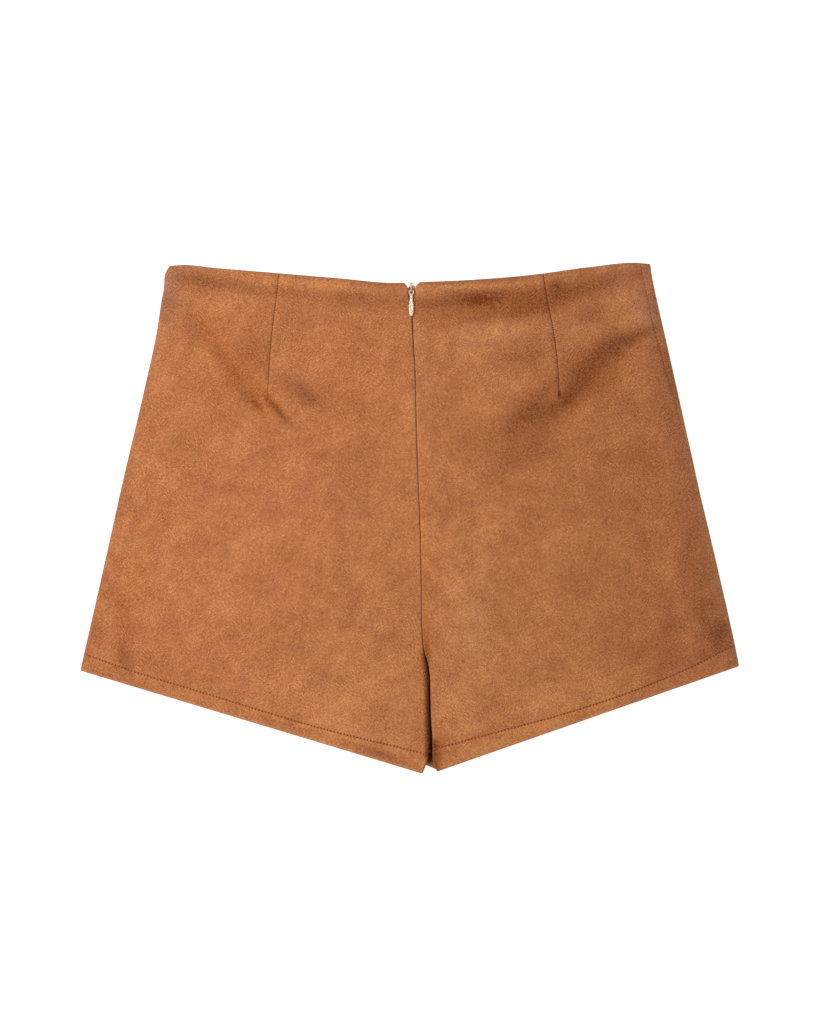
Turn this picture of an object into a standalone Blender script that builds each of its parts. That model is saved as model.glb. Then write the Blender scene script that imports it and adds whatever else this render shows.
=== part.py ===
"""High-waisted faux-suede skort, laid flat with its back up.

Two back panels with long waist darts lie over two shorts fronts, and a plain A-line skirt
panel is the lowest layer. The skirt panel turns up round both sides to the side seams, the
back panels turn down round the inner leg edges, and a concealed zip closes the centre back.

Units are metres. As the back is seen, +X is to the right and +Y runs to the waist; +Z is up
from the surface that the skort lies on. The origin is the middle of the outline, on that
surface. Left and right are the wearer's, which are the viewer's too from behind.
"""
import math

import bpy
import numpy as np


def table(names, rows):
    """Name the columns of a table."""
    return dict(zip(names.split(), np.array(rows, float).T))


# Cloth
CLOTH = 0.0010              # one layer of suede cloth
HEM_CLOTH = 0.0019          # the cloth with its hem turned up and pressed
SEAM_GAP = 0.0003           # between two pieces sewn together
LAYER_GAP = 0.0004          # between two layers that lie on each other

# Heights of the layers above the surface, away from the hems and within them
FRONT_UNDER = CLOTH + LAYER_GAP
FRONT_UNDER_HEM = HEM_CLOTH + LAYER_GAP
BACK_TOP = 0.0056
BACK_TOP_HEM = FRONT_UNDER_HEM + 2 * HEM_CLOTH + LAYER_GAP
LEVEL_RISE = (0.027, 0.021)  # distances from the hem between which the layers rise

# Outline of the sides: half of a waist 0.356 wide at the top, 0.484 wide at the hems
SIDES = table("y left right", (
    (0.1870, -0.1747, 0.1765),
    (0.1812, -0.1788, 0.1772),
    (0.1680, -0.1804, 0.1797),
    (0.1378, -0.1856, 0.1863),
    (0.0937, -0.1951, 0.1959),
    (0.0276, -0.2106, 0.2106),
    (-0.0386, -0.2253, 0.2260),
    (-0.0937, -0.2378, 0.2385),
    (-0.1130, -0.2421, 0.2427),
))

# Waist edge of the back, which dips to the centre zip
WAIST = table("x back", (
    (-0.1765, 0.1850),
    (-0.1650, 0.1855),
    (-0.1430, 0.1834),
    (-0.0989, 0.1797),
    (-0.0548, 0.1760),
    (-0.0107, 0.1724),
    (0.0070, 0.1730),
    (0.0445, 0.1746),
    (0.0886, 0.1782),
    (0.1327, 0.1841),
    (0.1657, 0.1871),
    (0.1765, 0.1862),
))
FRONT_WAIST_DROP = 0.0130   # the front waist edge lies lower than the back's at the centre
WAIST_HALF = 0.176

# Centre-back edges of the two back panels: notch, zip opening, seam, then the inner leg edges
CENTRE = table("y left right", (
    (0.1735, -0.0047, 0.0074),
    (0.1688, -0.0013, 0.0037),
    (0.1600, -0.0011, 0.0034),
    (0.1555, -0.0009, 0.0033),
    (0.1500, 0.0003, 0.0030),
    (0.1465, 0.0015, 0.0026),
    (0.1430, 0.0019, 0.0026),
    (0.1350, 0.0022, 0.0028),
    (0.1261, 0.0025, 0.0031),
    (0.1084, 0.00385, 0.00415),
    (0.0731, 0.00465, 0.00495),
    (0.0290, 0.00605, 0.00635),
    (-0.0063, 0.00755, 0.00785),
    (-0.0415, 0.00835, 0.00865),
    (-0.0856, 0.0092, 0.0095),
    (-0.0974, 0.0102, 0.0106),
    (-0.1069, 0.0124, 0.0134),
    (-0.1140, 0.0135, 0.0146),
    (-0.1310, 0.0140, 0.0155),
    (-0.1510, 0.0144, 0.0161),
    (-0.1600, 0.0146, 0.0165),
    (-0.1670, 0.0143, 0.0166),
    (-0.1750, 0.0134, 0.0167),
    (-0.1790, 0.0126, 0.0170),
    (-0.1874, 0.0093, 0.0206),
))

# Inner edges of the two shorts fronts: centre-front seam, then inside the rolled leg edges
FRONT_CENTRE = table("y left right", (
    (0.1750, 0.0010, 0.0013),
    (0.0600, 0.0050, 0.0053),
    (-0.0450, 0.0082, 0.0085),
    (-0.0780, 0.0068, 0.0125),
    (-0.1000, 0.0074, 0.0158),
    (-0.1393, 0.0115, 0.0190),
    (-0.1694, 0.0122, 0.0200),
    (-0.1782, 0.0099, 0.0200),
    (-0.1874, 0.0066, 0.0240),
))

# Leg hems are straight, from the outer corner to the inner one
HEM_LEFT = (-0.2418, -0.1117, 0.0094, -0.1874)
HEM_RIGHT = (0.0205, -0.1860, 0.2418, -0.1084)

# Depth of the hem, from its edge to the stitching
HEM_DEPTH = table("x depth", (
    (-0.2380, 0.0128),
    (-0.2000, 0.0110),
    (-0.1500, 0.0108),
    (-0.0600, 0.0108),
    (0.0000, 0.0130),
    (0.0200, 0.0150),
    (0.0660, 0.0130),
    (0.1100, 0.0097),
    (0.1760, 0.0090),
    (0.2050, 0.0112),
    (0.2360, 0.0160),
))

# Hem of the skirt panel: level with the leg hems at the sides, shorter between the legs
SKIRT_HEM = table("x y", (
    (-0.2412, -0.1110),
    (-0.1150, -0.1465),
    (0.0119, -0.1814),
    (0.0205, -0.1851),
    (0.2412, -0.1078),
))
SKIRT_POINT = 0.0205        # x of the lowest point of the skirt hem
SKIRT_HEM_DEPTH = 0.0110

# Waist darts, and below their tips a straight guide for the grid of the panel
DARTS = table("y left right", (
    (0.1800, -0.0957, 0.0978),
    (0.1612, -0.0978, 0.1008),
    (0.1416, -0.1003, 0.1047),
    (0.1185, -0.1026, 0.1080),
    (0.0880, -0.1042, 0.1098),
    (-0.1700, -0.1120, 0.1180),
))
DART_TIP = 0.0875           # y of the tips
DART_GROOVE = 0.0006        # depth of the groove over the dart seam
DART_HALF = 0.0022          # half width of the groove
DART_FADE = 0.012           # length over which the groove fades out to the tip
DART_INTAKE = 0.011         # width of the cloth folded under, beside the dart at the waist
DART_STEP = 0.0004          # height of that fold under the panel

# Where the side seams lie, as a length of cloth from the edge of the outline: up over the
# back where positive. The right side has rolled over, so its seam shows at the waist.
SIDE_SEAM = table("y left right", (
    (0.1870, -0.0005, 0.0086),
    (0.1570, -0.0005, 0.0082),
    (0.1437, -0.0005, 0.0087),
    (0.1320, -0.0005, 0.0077),
    (0.1196, -0.0005, 0.0066),
    (0.1093, -0.0005, 0.0063),
    (0.0952, -0.0005, 0.0050),
    (0.0709, -0.0005, 0.0040),
    (0.0500, -0.0005, 0.0025),
    (0.0100, -0.0005, 0.0000),
    (-0.1130, -0.0005, 0.0000),
))

# Rolls at the centre edges: shallow lips along the seam, full rolls round the inner legs
LIP_RADIUS = 0.0012
LIP_END = math.radians(10)
LEG_RADIUS = (BACK_TOP - FRONT_UNDER) / 2
LEG_END = math.radians(-68)
CROTCH = (-0.092, -0.108)   # y between which the lips turn into rolls

# Largest folds of the back, along straight lines. A fold is a soft ridge, or a trough where
# its height is below 0. Where step is 1 it is a ridge with a trough on its right.
FOLDS = table("x0 y0 x1 y1 width height step", (
    (0.060, 0.038, 0.172, 0.140, 0.0095, 0.0012, 1),
    (0.012, 0.146, 0.120, 0.153, 0.0090, -0.0009, 0),
    (0.120, 0.158, 0.168, 0.166, 0.0080, -0.0006, 0),
    (0.024, 0.117, 0.105, 0.129, 0.0070, -0.0004, 0),
    (-0.100, 0.154, -0.008, 0.150, 0.0075, -0.0006, 0),
    (-0.108, 0.078, -0.168, 0.150, 0.0080, 0.0006, 1),
    (-0.045, 0.078, -0.090, 0.098, 0.0080, 0.0005, 1),
    (0.030, -0.110, 0.034, -0.020, 0.0110, 0.0008, 0),
    (0.062, -0.080, 0.056, -0.020, 0.0080, 0.0005, 0),
    (-0.222, -0.100, -0.200, -0.010, 0.0110, -0.0006, 0),
))

# Broad swells where the cloth stands off the layers below
SWELLS = table("x y rx ry height", (
    (-0.146, 0.164, 0.016, 0.010, -0.0010),
    (-0.175, 0.030, 0.028, 0.070, 0.0008),
    (-0.070, 0.010, 0.050, 0.065, 0.0009),
    (-0.100, -0.090, 0.060, 0.030, 0.0006),
    (0.125, -0.020, 0.055, 0.060, 0.0010),
    (0.150, 0.085, 0.024, 0.020, 0.0007),
    (0.205, -0.062, 0.018, 0.024, -0.0007),
))
QUIET_EDGE = 0.014          # the folds fade out over this distance from the sides
QUIET_SEAM = 0.013          # and over this one from the centre back
STITCH_GROOVE = 0.0003

# Edges of the fronts, inside the back's and the skirt panel's rolls
FRONT_INSET = 0.0034        # from the outline at the sides
FRONT_BELOW_SKIRT = 0.0008  # at the waist
FRONT_ABOVE_BACK = 0.0006   # at the hems

# The turned-up hem thins out to one layer at the stitching, and round the inner leg edges
HEM_TOP = 1.12              # its cut edge, as a fraction of the depth of the stitching
HEM_FADE = 0.003
LEG_EDGE_FADE = (0.0025, 0.0060)

# Grid of a panel: rows below the waist and above the hem stitching as distances, rows of the
# hem as fractions of its depth, and the numbers of rows and columns between
WAIST_ROWS = (0.0, 0.0035, 0.008, 0.014)
HEM_ROWS = (0.015, 0.009, 0.0035)
HEM_FRACTIONS = (HEM_TOP, 1.0, 0.88, 0.45, 0.0)
BACK_ROWS = 26
SIDE_COLUMNS = 7
SIDE_REACH = 0.009          # the side columns run this far in from the roll
DART_SIDE_COLUMNS = 13      # from the side to the dart
CENTRE_COLUMNS = 15         # from the dart to the centre
CENTRE_ROLL = (0.25, 0.5, 0.75, 1)
FLAT_WAIST_ROWS = (0.0, 0.02)
FLAT_FRACTIONS = (HEM_TOP, 0.5, 0.0)
FRONT_ROWS = 8
FRONT_COLUMNS = 7
SKIRT_ROWS = 11
SKIRT_HEM_ROWS = (0.012, 0.003)
SKIRT_COLUMNS = 6           # on each side of the lowest point
SKIRT_LEFT_ROLL = (1, 0.9, 0.79, 0.68, 0.57, 0.45, 0)
SKIRT_RIGHT_ROLL = np.linspace(0, 1, 11)
SETTLE_ROUNDS = 12
EDGE_ANGLE = math.radians(50)   # edges sharper than this are beveled or shaded sharp

# Concealed zip: the tapes part round the slider's bridge at the top
ZIP_X = 0.0012
TAPE_EDGES = table("y off", (
    (0.1675, 0.00080),
    (0.1632, 0.00080),
    (0.1605, 0.00015),
    (-0.0200, 0.00015),
))
COIL_TOP_Y = 0.1600
TAPE_WIDTH = 0.0110
TAPE = 0.0010
COIL = 0.0013
COIL_WIDTH = 0.0016
COIL_SHOULDER = 0.0004      # width of the step from the coil down to the tape
TAPE_BELOW_PANEL = 0.00055
TAPE_ROWS = 22

# Pull tab, lying down the back from its hinge
HINGE_Y = 0.1669
HINGE_Z = 0.00640
PULL_THICK = 0.0009
PULL_HOLE = 0.0009
HOLE_FROM_HINGE = 0.00160
PULL_OUTLINE = table("along half", (
    (-0.00070, 0.0006),
    (-0.0004, 0.0013),
    (0.0003, 0.0019),
    (0.0014, 0.00215),
    (0.0026, 0.0019),
    (0.0036, 0.0014),
    (0.0047, 0.0011),
    (0.0062, 0.0012),
    (0.0090, 0.0016),
    (0.0122, 0.0019),
    (0.0148, 0.0018),
    (0.0168, 0.0014),
    (0.0182, 0.0008),
))
PULL_TIP = 0.0188
PULL_BEVEL = 0.00025

# Slider: a plate under the tapes, a thin bridge between them, and on the bridge a rounded
# crown at the waist and the arched bail that the pull's eye hangs on
PLATE_SIZE = (0.0052, 0.0078, 0.0017)
PLATE_Y = 0.1663
PLATE_TOP = 0.0027
BRIDGE_SIZE = (0.0009, 0.0062, 0.0030)
BRIDGE_Y = 0.1682
BRIDGE_TOP = 0.0053
CROWN_SIZE = (0.0026, 0.0040, 0.0019)
CROWN_Y = 0.1709
CROWN_TOP = 0.0063
CORNER = 0.55               # exponent of the rounded rectangles: 1 is an ellipse
SLIDER_BEVEL = 0.00035
BAIL_INNER = 0.00100
BAIL_OUTER = 0.00155
BAIL_WIDTH = 0.0007
BAIL_ROOT = 0.0004          # depth of the bail's feet in the bridge

SUEDE = (0.434, 0.162, 0.061)
TAPE_COLOUR = (0.08, 0.05, 0.035)
ENAMEL = (0.86, 0.62, 0.43)


def curve(rows, along, name, at):
    """Smooth curve through one column of a table, held level past its ends."""
    order = np.argsort(rows[along])
    x, f = rows[along][order], rows[name][order]
    slope = np.gradient(f, x)
    i = np.clip(np.searchsorted(x, at) - 1, 0, len(x) - 2)
    step = x[i + 1] - x[i]
    t = np.clip((at - x[i]) / step, 0, 1)
    return ((2 * t**3 - 3 * t**2 + 1) * f[i] + (t**3 - 2 * t**2 + t) * step * slope[i]
            + (3 * t**2 - 2 * t**3) * f[i + 1] + (t**3 - t**2) * step * slope[i + 1])


def ease(value, start, end):
    """Rise smoothly from 0 at start to 1 at end."""
    t = np.clip((value - start) / (end - start), 0, 1)
    return t * t * (3 - 2 * t)


def side(name, y):
    return curve(SIDES, "y", name, y)


def centre(name, y):
    return curve(CENTRE, "y", name, y)


def waist(x):
    return curve(WAIST, "x", "back", x)


def front_waist(x):
    """Waist edge of the front layers, which meets the back's at the sides."""
    return waist(x) - FRONT_WAIST_DROP * np.clip(1 - (x / WAIST_HALF) ** 2, 0, 1)


def straight(ends, x):
    """Height y of the straight line between two ends, at x."""
    x0, y0, x1, y1 = ends
    return y0 + (y1 - y0) * (x - x0) / (x1 - x0)


def hem(x):
    """Edges of the leg hems, which fall towards the centre from both sides."""
    return np.maximum(straight(HEM_LEFT, x), straight(HEM_RIGHT, x))


def skirt_hem(x):
    return np.interp(x, SKIRT_HEM["x"], SKIRT_HEM["y"])


def level(low, high, x, y):
    """Height of a layer: low over the panel, high over the hems."""
    return low + (high - low) * ease(y - hem(x), *LEVEL_RISE)


def relief(x, y):
    """Folds and swells of the back, quiet near the sides, the centre seam and the hems."""
    height = np.zeros_like(x)
    for x0, y0, x1, y1, width, crest, step in zip(*FOLDS.values()):
        length = math.hypot(x1 - x0, y1 - y0)
        ux, uy = (x1 - x0) / length, (y1 - y0) / length
        along = ((x - x0) * ux + (y - y0) * uy) / length
        across = (x - x0) * uy - (y - y0) * ux
        ends = ease(along, -0.10, 0.25) * ease(along, 1.10, 0.70)
        ridge = np.exp(-(across / width) ** 2)
        down = -across / width * np.exp(0.5 - 0.5 * (across / width) ** 2)
        height += crest * ends * (down if step else ridge)
    for cx, cy, rx, ry, swell in zip(*SWELLS.values()):
        height += swell * np.exp(-((x - cx) / rx) ** 2 - ((y - cy) / ry) ** 2)
    from_side = np.minimum(x - side("left", y), side("right", y) - x)
    seam = (centre("left", y) + centre("right", y)) / 2
    height *= ease(from_side, 0.003, QUIET_EDGE)
    height *= 1 - np.exp(-((x - seam) / QUIET_SEAM) ** 2)
    return height * ease(y - hem(x), 0.020, 0.045)


def dart_relief(x, y):
    """Groove over each dart seam, beside the cloth folded under towards the centre."""
    height = np.zeros_like(x)
    strength = ease(y, DART_TIP - 0.001, DART_TIP + DART_FADE)
    for name, inward in (("left", 1), ("right", -1)):
        across = (x - curve(DARTS, "y", name, y)) * inward
        intake = DART_INTAKE * np.clip((y - DART_TIP) / (WAIST["back"].max() - DART_TIP), 0.05, 1)
        height -= DART_GROOVE * strength * np.clip(1 - np.abs(across) / DART_HALF, 0, 1)
        height += DART_STEP * strength * ease(across, 0, DART_HALF) * ease(across, 2 * intake, intake)
    return height


def back_top(x, y):
    """Height of the back's outer face, away from the rolled edges."""
    from_stitching = (y - hem(x)) / curve(HEM_DEPTH, "x", "depth", x)
    groove = STITCH_GROOVE * np.clip(1 - np.abs(from_stitching - 1) / 0.11, 0, 1)
    return level(BACK_TOP, BACK_TOP_HEM, x, y) + relief(x, y) + dart_relief(x, y) - groove


def side_roll(name, along, y):
    """Cloth rolled round a side edge: how far in it lies, and how high.

    The roll is a half circle that reaches from the surface to the top of the back. Along is
    measured on the cloth from the outermost line, up over the back where it is positive.
    """
    edge = side(name, y)
    radius = level(BACK_TOP, BACK_TOP_HEM, edge, y) / 2
    angle = np.clip(along / radius, -math.pi / 2, math.pi / 2)
    flat = np.abs(along) - np.abs(angle) * radius
    inset = radius * (1 - np.cos(angle)) + flat
    inward = 1 if name == "left" else -1
    x = edge + inward * inset
    height = radius + radius * np.sin(angle)
    over = along > radius * math.pi / 2
    return x, np.where(over, back_top(x, y), height)


def centre_roll(name, fraction, y):
    """Edge of a back panel turned down at the centre: 0 is its start, 1 its end."""
    leg = ease(y, *CROTCH)
    radius = LIP_RADIUS + (LEG_RADIUS - LIP_RADIUS) * leg
    end = LIP_END + (LEG_END - LIP_END) * leg
    angle = math.pi / 2 + (end - math.pi / 2) * fraction
    inward = -1 if name == "left" else 1
    x = centre(name, y) + inward * radius * (1 - np.cos(angle))
    return x, back_top(x, y) - radius * (1 - np.sin(angle))


def rows(waist_rows, middle, hem_rows, fractions):
    """Stations down a panel: each is a share of the way from its waist to its hem edge,
    counted from distances off those edges, the last ones as fractions of the hem's depth."""
    last, first = waist_rows[-1], hem_rows[0]
    stations = [(0, off, 0, 0) for off in waist_rows]
    stations += [((i + 1) / (middle + 1), last, first, 1) for i in range(middle)]
    stations += [(1, 0, off, 1) for off in hem_rows]
    stations += [(1, 0, 0, fraction) for fraction in fractions]
    return np.array(stations).T


def surface(columns, stations, top, bottom, depth):
    """Grid of points of a panel's outer face, a column of points for each (place, height).

    The x of a point depends on its y, and its y on the edges at its x, so both settle in
    a few rounds.
    """
    share, from_top, from_bottom, fraction = stations
    grid = []
    for place in columns:
        y = np.linspace(top(0.0), bottom(0.0), len(share))
        for _ in range(SETTLE_ROUNDS):
            x, _ = place(y)
            low = bottom(x) + from_bottom + fraction * depth(x)
            y = (1 - share) * (top(x) - from_top) + share * low
        x, z = place(y)
        grid.append(np.stack([x, y, z], axis=1))
    return np.stack(grid, axis=1)


def flat_column(x_at, z_at):
    """Column of a panel that lies at x_at(y), with its outer face at the height z_at(x, y)."""
    def place(y):
        x = x_at(y)
        return x, z_at(x, y)
    return place


def columns_between(low, high, count, z_at):
    """Evenly spaced columns from the line low(y) to the line high(y), both included."""
    shares = np.linspace(0, 1, count)
    return [flat_column(lambda y, f=f: low(y) + f * (high(y) - low(y)), z_at) for f in shares]


def wall(outer, thickness, facing):
    """Closed wall from its outer face and its thickness, which is measured inwards.

    facing is the side of the grid's own normal, columns by rows, on which the outer face is.
    """
    down, over = (np.gradient(outer, axis=way, edge_order=2) for way in (0, 1))
    normal = np.cross(over, down)
    normal /= np.linalg.norm(normal, axis=2, keepdims=True)
    inner = outer - facing * normal * thickness[..., None]
    count, width = outer.shape[:2]
    points = np.concatenate([outer.reshape(-1, 3), inner.reshape(-1, 3)])

    def at(face, row, column):
        return face * count * width + row * width + column

    faces = []
    for row in range(count - 1):
        for column in range(width - 1):
            quad = [(row, column), (row + 1, column), (row + 1, column + 1), (row, column + 1)]
            faces.append([at(0, *corner) for corner in quad])
            faces.append([at(1, *corner) for corner in reversed(quad)])
    rim = [(0, column) for column in range(width)]
    rim += [(row, width - 1) for row in range(1, count)]
    rim += [(count - 1, column) for column in range(width - 2, -1, -1)]
    rim += [(row, 0) for row in range(count - 2, 0, -1)]
    for start, end in zip(rim, rim[1:] + rim[:1]):
        faces.append([at(0, *start), at(0, *end), at(1, *end), at(1, *start)])
    if facing > 0:
        faces = [face[::-1] for face in faces]
    return points, faces


def material(name, colour, roughness, metallic=0.0):
    made = bpy.data.materials.new(name)
    made.use_nodes = True
    shader = made.node_tree.nodes["Principled BSDF"]
    shader.inputs["Base Color"].default_value = (*colour, 1)
    shader.inputs["Roughness"].default_value = roughness
    shader.inputs["Metallic"].default_value = metallic
    return made


def add(name, points, faces, finish):
    """Make one named, smooth-shaded object from points and faces."""
    mesh = bpy.data.meshes.new(name)
    mesh.from_pydata([tuple(point) for point in points], [], faces)
    mesh.validate()
    mesh.shade_smooth()
    mesh.set_sharp_from_angle(angle=EDGE_ANGLE)
    mesh.materials.append(finish)
    made = bpy.data.objects.new(name, mesh)
    bpy.context.collection.objects.link(made)
    return made


def hem_thickness(x, y, edge, depth):
    """One layer of cloth, thicker where the hem is turned up."""
    hem_top = HEM_TOP * depth(x)
    return CLOTH + (HEM_CLOTH - CLOTH) * ease(y - edge(x), hem_top + HEM_FADE, hem_top)


def leg_depth(x):
    return curve(HEM_DEPTH, "x", "depth", x)


def back_panel(name, finish):
    """Back panel: outer roll to the side seam, dart, and inner roll at the centre."""
    inward = 1 if name == "left" else -1

    def side_column(share):
        def place(y):
            radius = level(BACK_TOP, BACK_TOP_HEM, side(name, y), y) / 2
            start = curve(SIDE_SEAM, "y", name, y) + SEAM_GAP / 2
            end = radius * math.pi / 2 + SIDE_REACH
            return side_roll(name, start + (end - start) * share ** 1.5, y)
        return place

    def side_end(y):
        radius = level(BACK_TOP, BACK_TOP_HEM, side(name, y), y) / 2
        return side(name, y) + inward * (radius + SIDE_REACH)

    def dart(y, off):
        return curve(DARTS, "y", name, y) + inward * off

    def centre_start(y):
        return centre_roll(name, 0, y)[0]

    columns = [side_column(share) for share in np.linspace(0, 1, SIDE_COLUMNS)]
    to_dart = columns_between(side_end, lambda y: dart(y, -DART_HALF), DART_SIDE_COLUMNS, back_top)
    columns += to_dart[1:]
    columns += [flat_column(lambda y: dart(y, 0), back_top)]
    columns += columns_between(lambda y: dart(y, DART_HALF), centre_start, CENTRE_COLUMNS, back_top)
    columns += [lambda y, share=share: centre_roll(name, share, y) for share in CENTRE_ROLL]
    if name == "right":
        columns.reverse()
    line = HEM_LEFT if name == "left" else HEM_RIGHT
    edge = lambda x: straight(line, x)
    stations = rows(WAIST_ROWS, BACK_ROWS, HEM_ROWS, HEM_FRACTIONS)
    outer = surface(columns, stations, waist, edge, leg_depth)
    x, y = outer[..., 0], outer[..., 1]
    in_leg = ease(np.abs(x - centre(name, y)), *LEG_EDGE_FADE)
    thickness = CLOTH + (hem_thickness(x, y, edge, leg_depth) - CLOTH) * in_leg
    return add("back_" + name, *wall(outer, thickness, -1), finish)


def front_panel(name, finish):
    """Shorts front: a flat layer between the back and the skirt panel."""
    inward = 1 if name == "left" else -1
    line = HEM_LEFT if name == "left" else HEM_RIGHT
    edge = lambda x: straight(line, x) + FRONT_ABOVE_BACK
    under = lambda x, y: level(FRONT_UNDER, FRONT_UNDER_HEM, x, y)
    outside = lambda y: side(name, y) + inward * FRONT_INSET
    inside = lambda y: np.interp(y, FRONT_CENTRE["y"][::-1], FRONT_CENTRE[name][::-1])
    columns = columns_between(outside, inside, FRONT_COLUMNS, under)
    if name == "right":
        columns.reverse()
    stations = rows(FLAT_WAIST_ROWS, FRONT_ROWS, HEM_ROWS, FLAT_FRACTIONS)
    top = lambda x: front_waist(x) - FRONT_BELOW_SKIRT
    outer = surface(columns, stations, top, edge, leg_depth)
    x, y = outer[..., 0], outer[..., 1]
    return add("front_" + name, *wall(outer, hem_thickness(x, y, edge, leg_depth), 1), finish)


def skirt_panel(finish):
    """Skirt front: flat on the surface, rolled up round both sides to the side seams."""
    def side_column(name, share):
        def place(y):
            radius = level(BACK_TOP, BACK_TOP_HEM, side(name, y), y) / 2
            seam = curve(SIDE_SEAM, "y", name, y) - SEAM_GAP / 2
            start = -radius * math.pi / 2 - SIDE_REACH
            return side_roll(name, start + (seam - start) * share, y)
        return place

    def side_end(name, inward):
        def at(y):
            radius = level(BACK_TOP, BACK_TOP_HEM, side(name, y), y) / 2
            return side(name, y) + inward * (radius + SIDE_REACH)
        return at

    flat = lambda x, y: np.zeros_like(x)
    point = lambda y: np.full_like(y, SKIRT_POINT)
    columns = [side_column("left", share) for share in SKIRT_LEFT_ROLL]
    columns += columns_between(side_end("left", 1), point, SKIRT_COLUMNS, flat)[1:]
    columns += columns_between(point, side_end("right", -1), SKIRT_COLUMNS, flat)[1:-1]
    columns += [side_column("right", share) for share in SKIRT_RIGHT_ROLL]
    depth = lambda x: np.full_like(x, SKIRT_HEM_DEPTH)
    stations = rows(FLAT_WAIST_ROWS, SKIRT_ROWS, SKIRT_HEM_ROWS, FLAT_FRACTIONS)
    outer = surface(columns, stations, front_waist, skirt_hem, depth)
    x, y = outer[..., 0], outer[..., 1]
    return add("skirt_panel", *wall(outer, hem_thickness(x, y, skirt_hem, depth), 1), finish)


def zip_tape(name, finish):
    """Half of the zip: tape under a back panel, with its coil along the centre seam."""
    outward = -1 if name == "left" else 1
    y = np.linspace(TAPE_EDGES["y"].max(), TAPE_EDGES["y"].min(), TAPE_ROWS)
    open_share = ease(y, COIL_TOP_Y - TAPE_WIDTH, COIL_TOP_Y)
    seam = (centre("left", y) + centre("right", y)) / 2
    middle = seam + (ZIP_X - seam) * open_share
    edge = np.interp(y, TAPE_EDGES["y"][::-1], TAPE_EDGES["off"][::-1])
    steps = (0, COIL_WIDTH, COIL_WIDTH + COIL_SHOULDER, TAPE_WIDTH)
    grid = []
    for step in steps:
        x = middle + outward * (edge + step)
        grid.append(np.stack([x, y, back_top(x, y) - CLOTH - TAPE_BELOW_PANEL], axis=1))
    outer = np.stack(grid, axis=1)
    thickness = np.full(outer.shape[:2], TAPE)
    thickness[y < COIL_TOP_Y, :2] = COIL
    if name == "left":
        outer, thickness = outer[:, ::-1], thickness[:, ::-1]
    return add("zip_tape_" + name, *wall(outer, thickness, -1), finish)


def apply_modifier(target, kind, **settings):
    """Add a modifier, apply it, and keep the evaluated mesh."""
    modifier = target.modifiers.new(kind.title(), kind)
    for key, value in settings.items():
        setattr(modifier, key, value)
    evaluated = target.evaluated_get(bpy.context.evaluated_depsgraph_get())
    mesh = bpy.data.meshes.new_from_object(evaluated)
    target.modifiers.clear()
    target.data = mesh


def prism(name, loop, low, high, axis, finish):
    """Solid from a closed loop of points in a plane, extruded along the axis left out."""
    points = [np.insert(point, axis, end) for end in (low, high) for point in loop]
    count = len(loop)
    faces = [list(range(count))[::-1], list(range(count, 2 * count))]
    faces += [[i, (i + 1) % count, (i + 1) % count + count, i + count] for i in range(count)]
    return add(name, points, faces, finish)


def rounded_block(name, size, middle_y, top, finish):
    """Flat block with a rounded rectangle for its plan and soft edges, under the height top."""
    turns = np.linspace(0, 2 * math.pi, 20, endpoint=False)
    rounded = lambda c: np.sign(c) * np.abs(c) ** CORNER
    loop = [(ZIP_X + size[0] / 2 * rounded(math.cos(a)), middle_y + size[1] / 2 * rounded(math.sin(a)))
            for a in turns]
    block = prism(name, loop, top - size[2], top, 2, finish)
    apply_modifier(block, "BEVEL", width=SLIDER_BEVEL, segments=2, limit_method="ANGLE",
                   angle_limit=EDGE_ANGLE)
    return block


def bail(finish):
    """Arched loop over the hinge, with straight legs down into the bridge."""
    foot = BRIDGE_TOP - BAIL_ROOT

    def arch(radius):
        turn = np.linspace(0, math.pi, 13)
        over = [(HINGE_Y + radius * math.cos(a), HINGE_Z + radius * math.sin(a)) for a in turn]
        return [(HINGE_Y + radius, foot)] + over + [(HINGE_Y - radius, foot)]

    loop = arch(BAIL_OUTER) + arch(BAIL_INNER)[::-1]
    return prism("bail", loop, ZIP_X - BAIL_WIDTH / 2, ZIP_X + BAIL_WIDTH / 2, 0, finish)


def zip_slider(finish):
    """Slider of the zip: plate, bridge, crown and bail in one."""
    slider = rounded_block("zip_slider", PLATE_SIZE, PLATE_Y, PLATE_TOP, finish)
    x, y, z = (size / 2 for size in BRIDGE_SIZE)
    loop = [(ZIP_X - x, BRIDGE_Y - y), (ZIP_X + x, BRIDGE_Y - y), (ZIP_X + x, BRIDGE_Y + y),
            (ZIP_X - x, BRIDGE_Y + y)]
    bridge = prism("bridge", loop, BRIDGE_TOP - 2 * z, BRIDGE_TOP, 2, finish)
    crown = rounded_block("crown", CROWN_SIZE, CROWN_Y, CROWN_TOP, finish)
    for joined in (bridge, crown, bail(finish)):
        apply_modifier(slider, "BOOLEAN", operation="UNION", object=joined)
        bpy.data.objects.remove(joined)
    return slider


def zip_pull(finish):
    """Teardrop pull tab with an eye for the bail, lying down the back from its hinge."""
    ahead = np.append(PULL_OUTLINE["along"], PULL_TIP)
    half = np.append(PULL_OUTLINE["half"], 0)
    left_side = [(-x, -along) for along, x in zip(ahead, half)]
    right_side = [(x, -along) for along, x in zip(ahead[:-1], half[:-1])]
    loop = left_side + right_side[::-1]
    tab = prism("zip_pull", loop, -PULL_THICK / 2, PULL_THICK / 2, 2, finish)
    apply_modifier(tab, "BEVEL", width=PULL_BEVEL, segments=2, limit_method="ANGLE",
                   angle_limit=EDGE_ANGLE)
    turns = np.linspace(0, 2 * math.pi, 20, endpoint=False)
    eye = [(PULL_HOLE * math.cos(a), -HOLE_FROM_HINGE + PULL_HOLE * math.sin(a)) for a in turns]
    cutter = prism("eye", eye, -PULL_THICK, PULL_THICK, 2, finish)
    apply_modifier(tab, "BOOLEAN", operation="DIFFERENCE", object=cutter)
    bpy.data.objects.remove(cutter)
    tab.location = (ZIP_X, HINGE_Y, HINGE_Z)
    return tab


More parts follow.
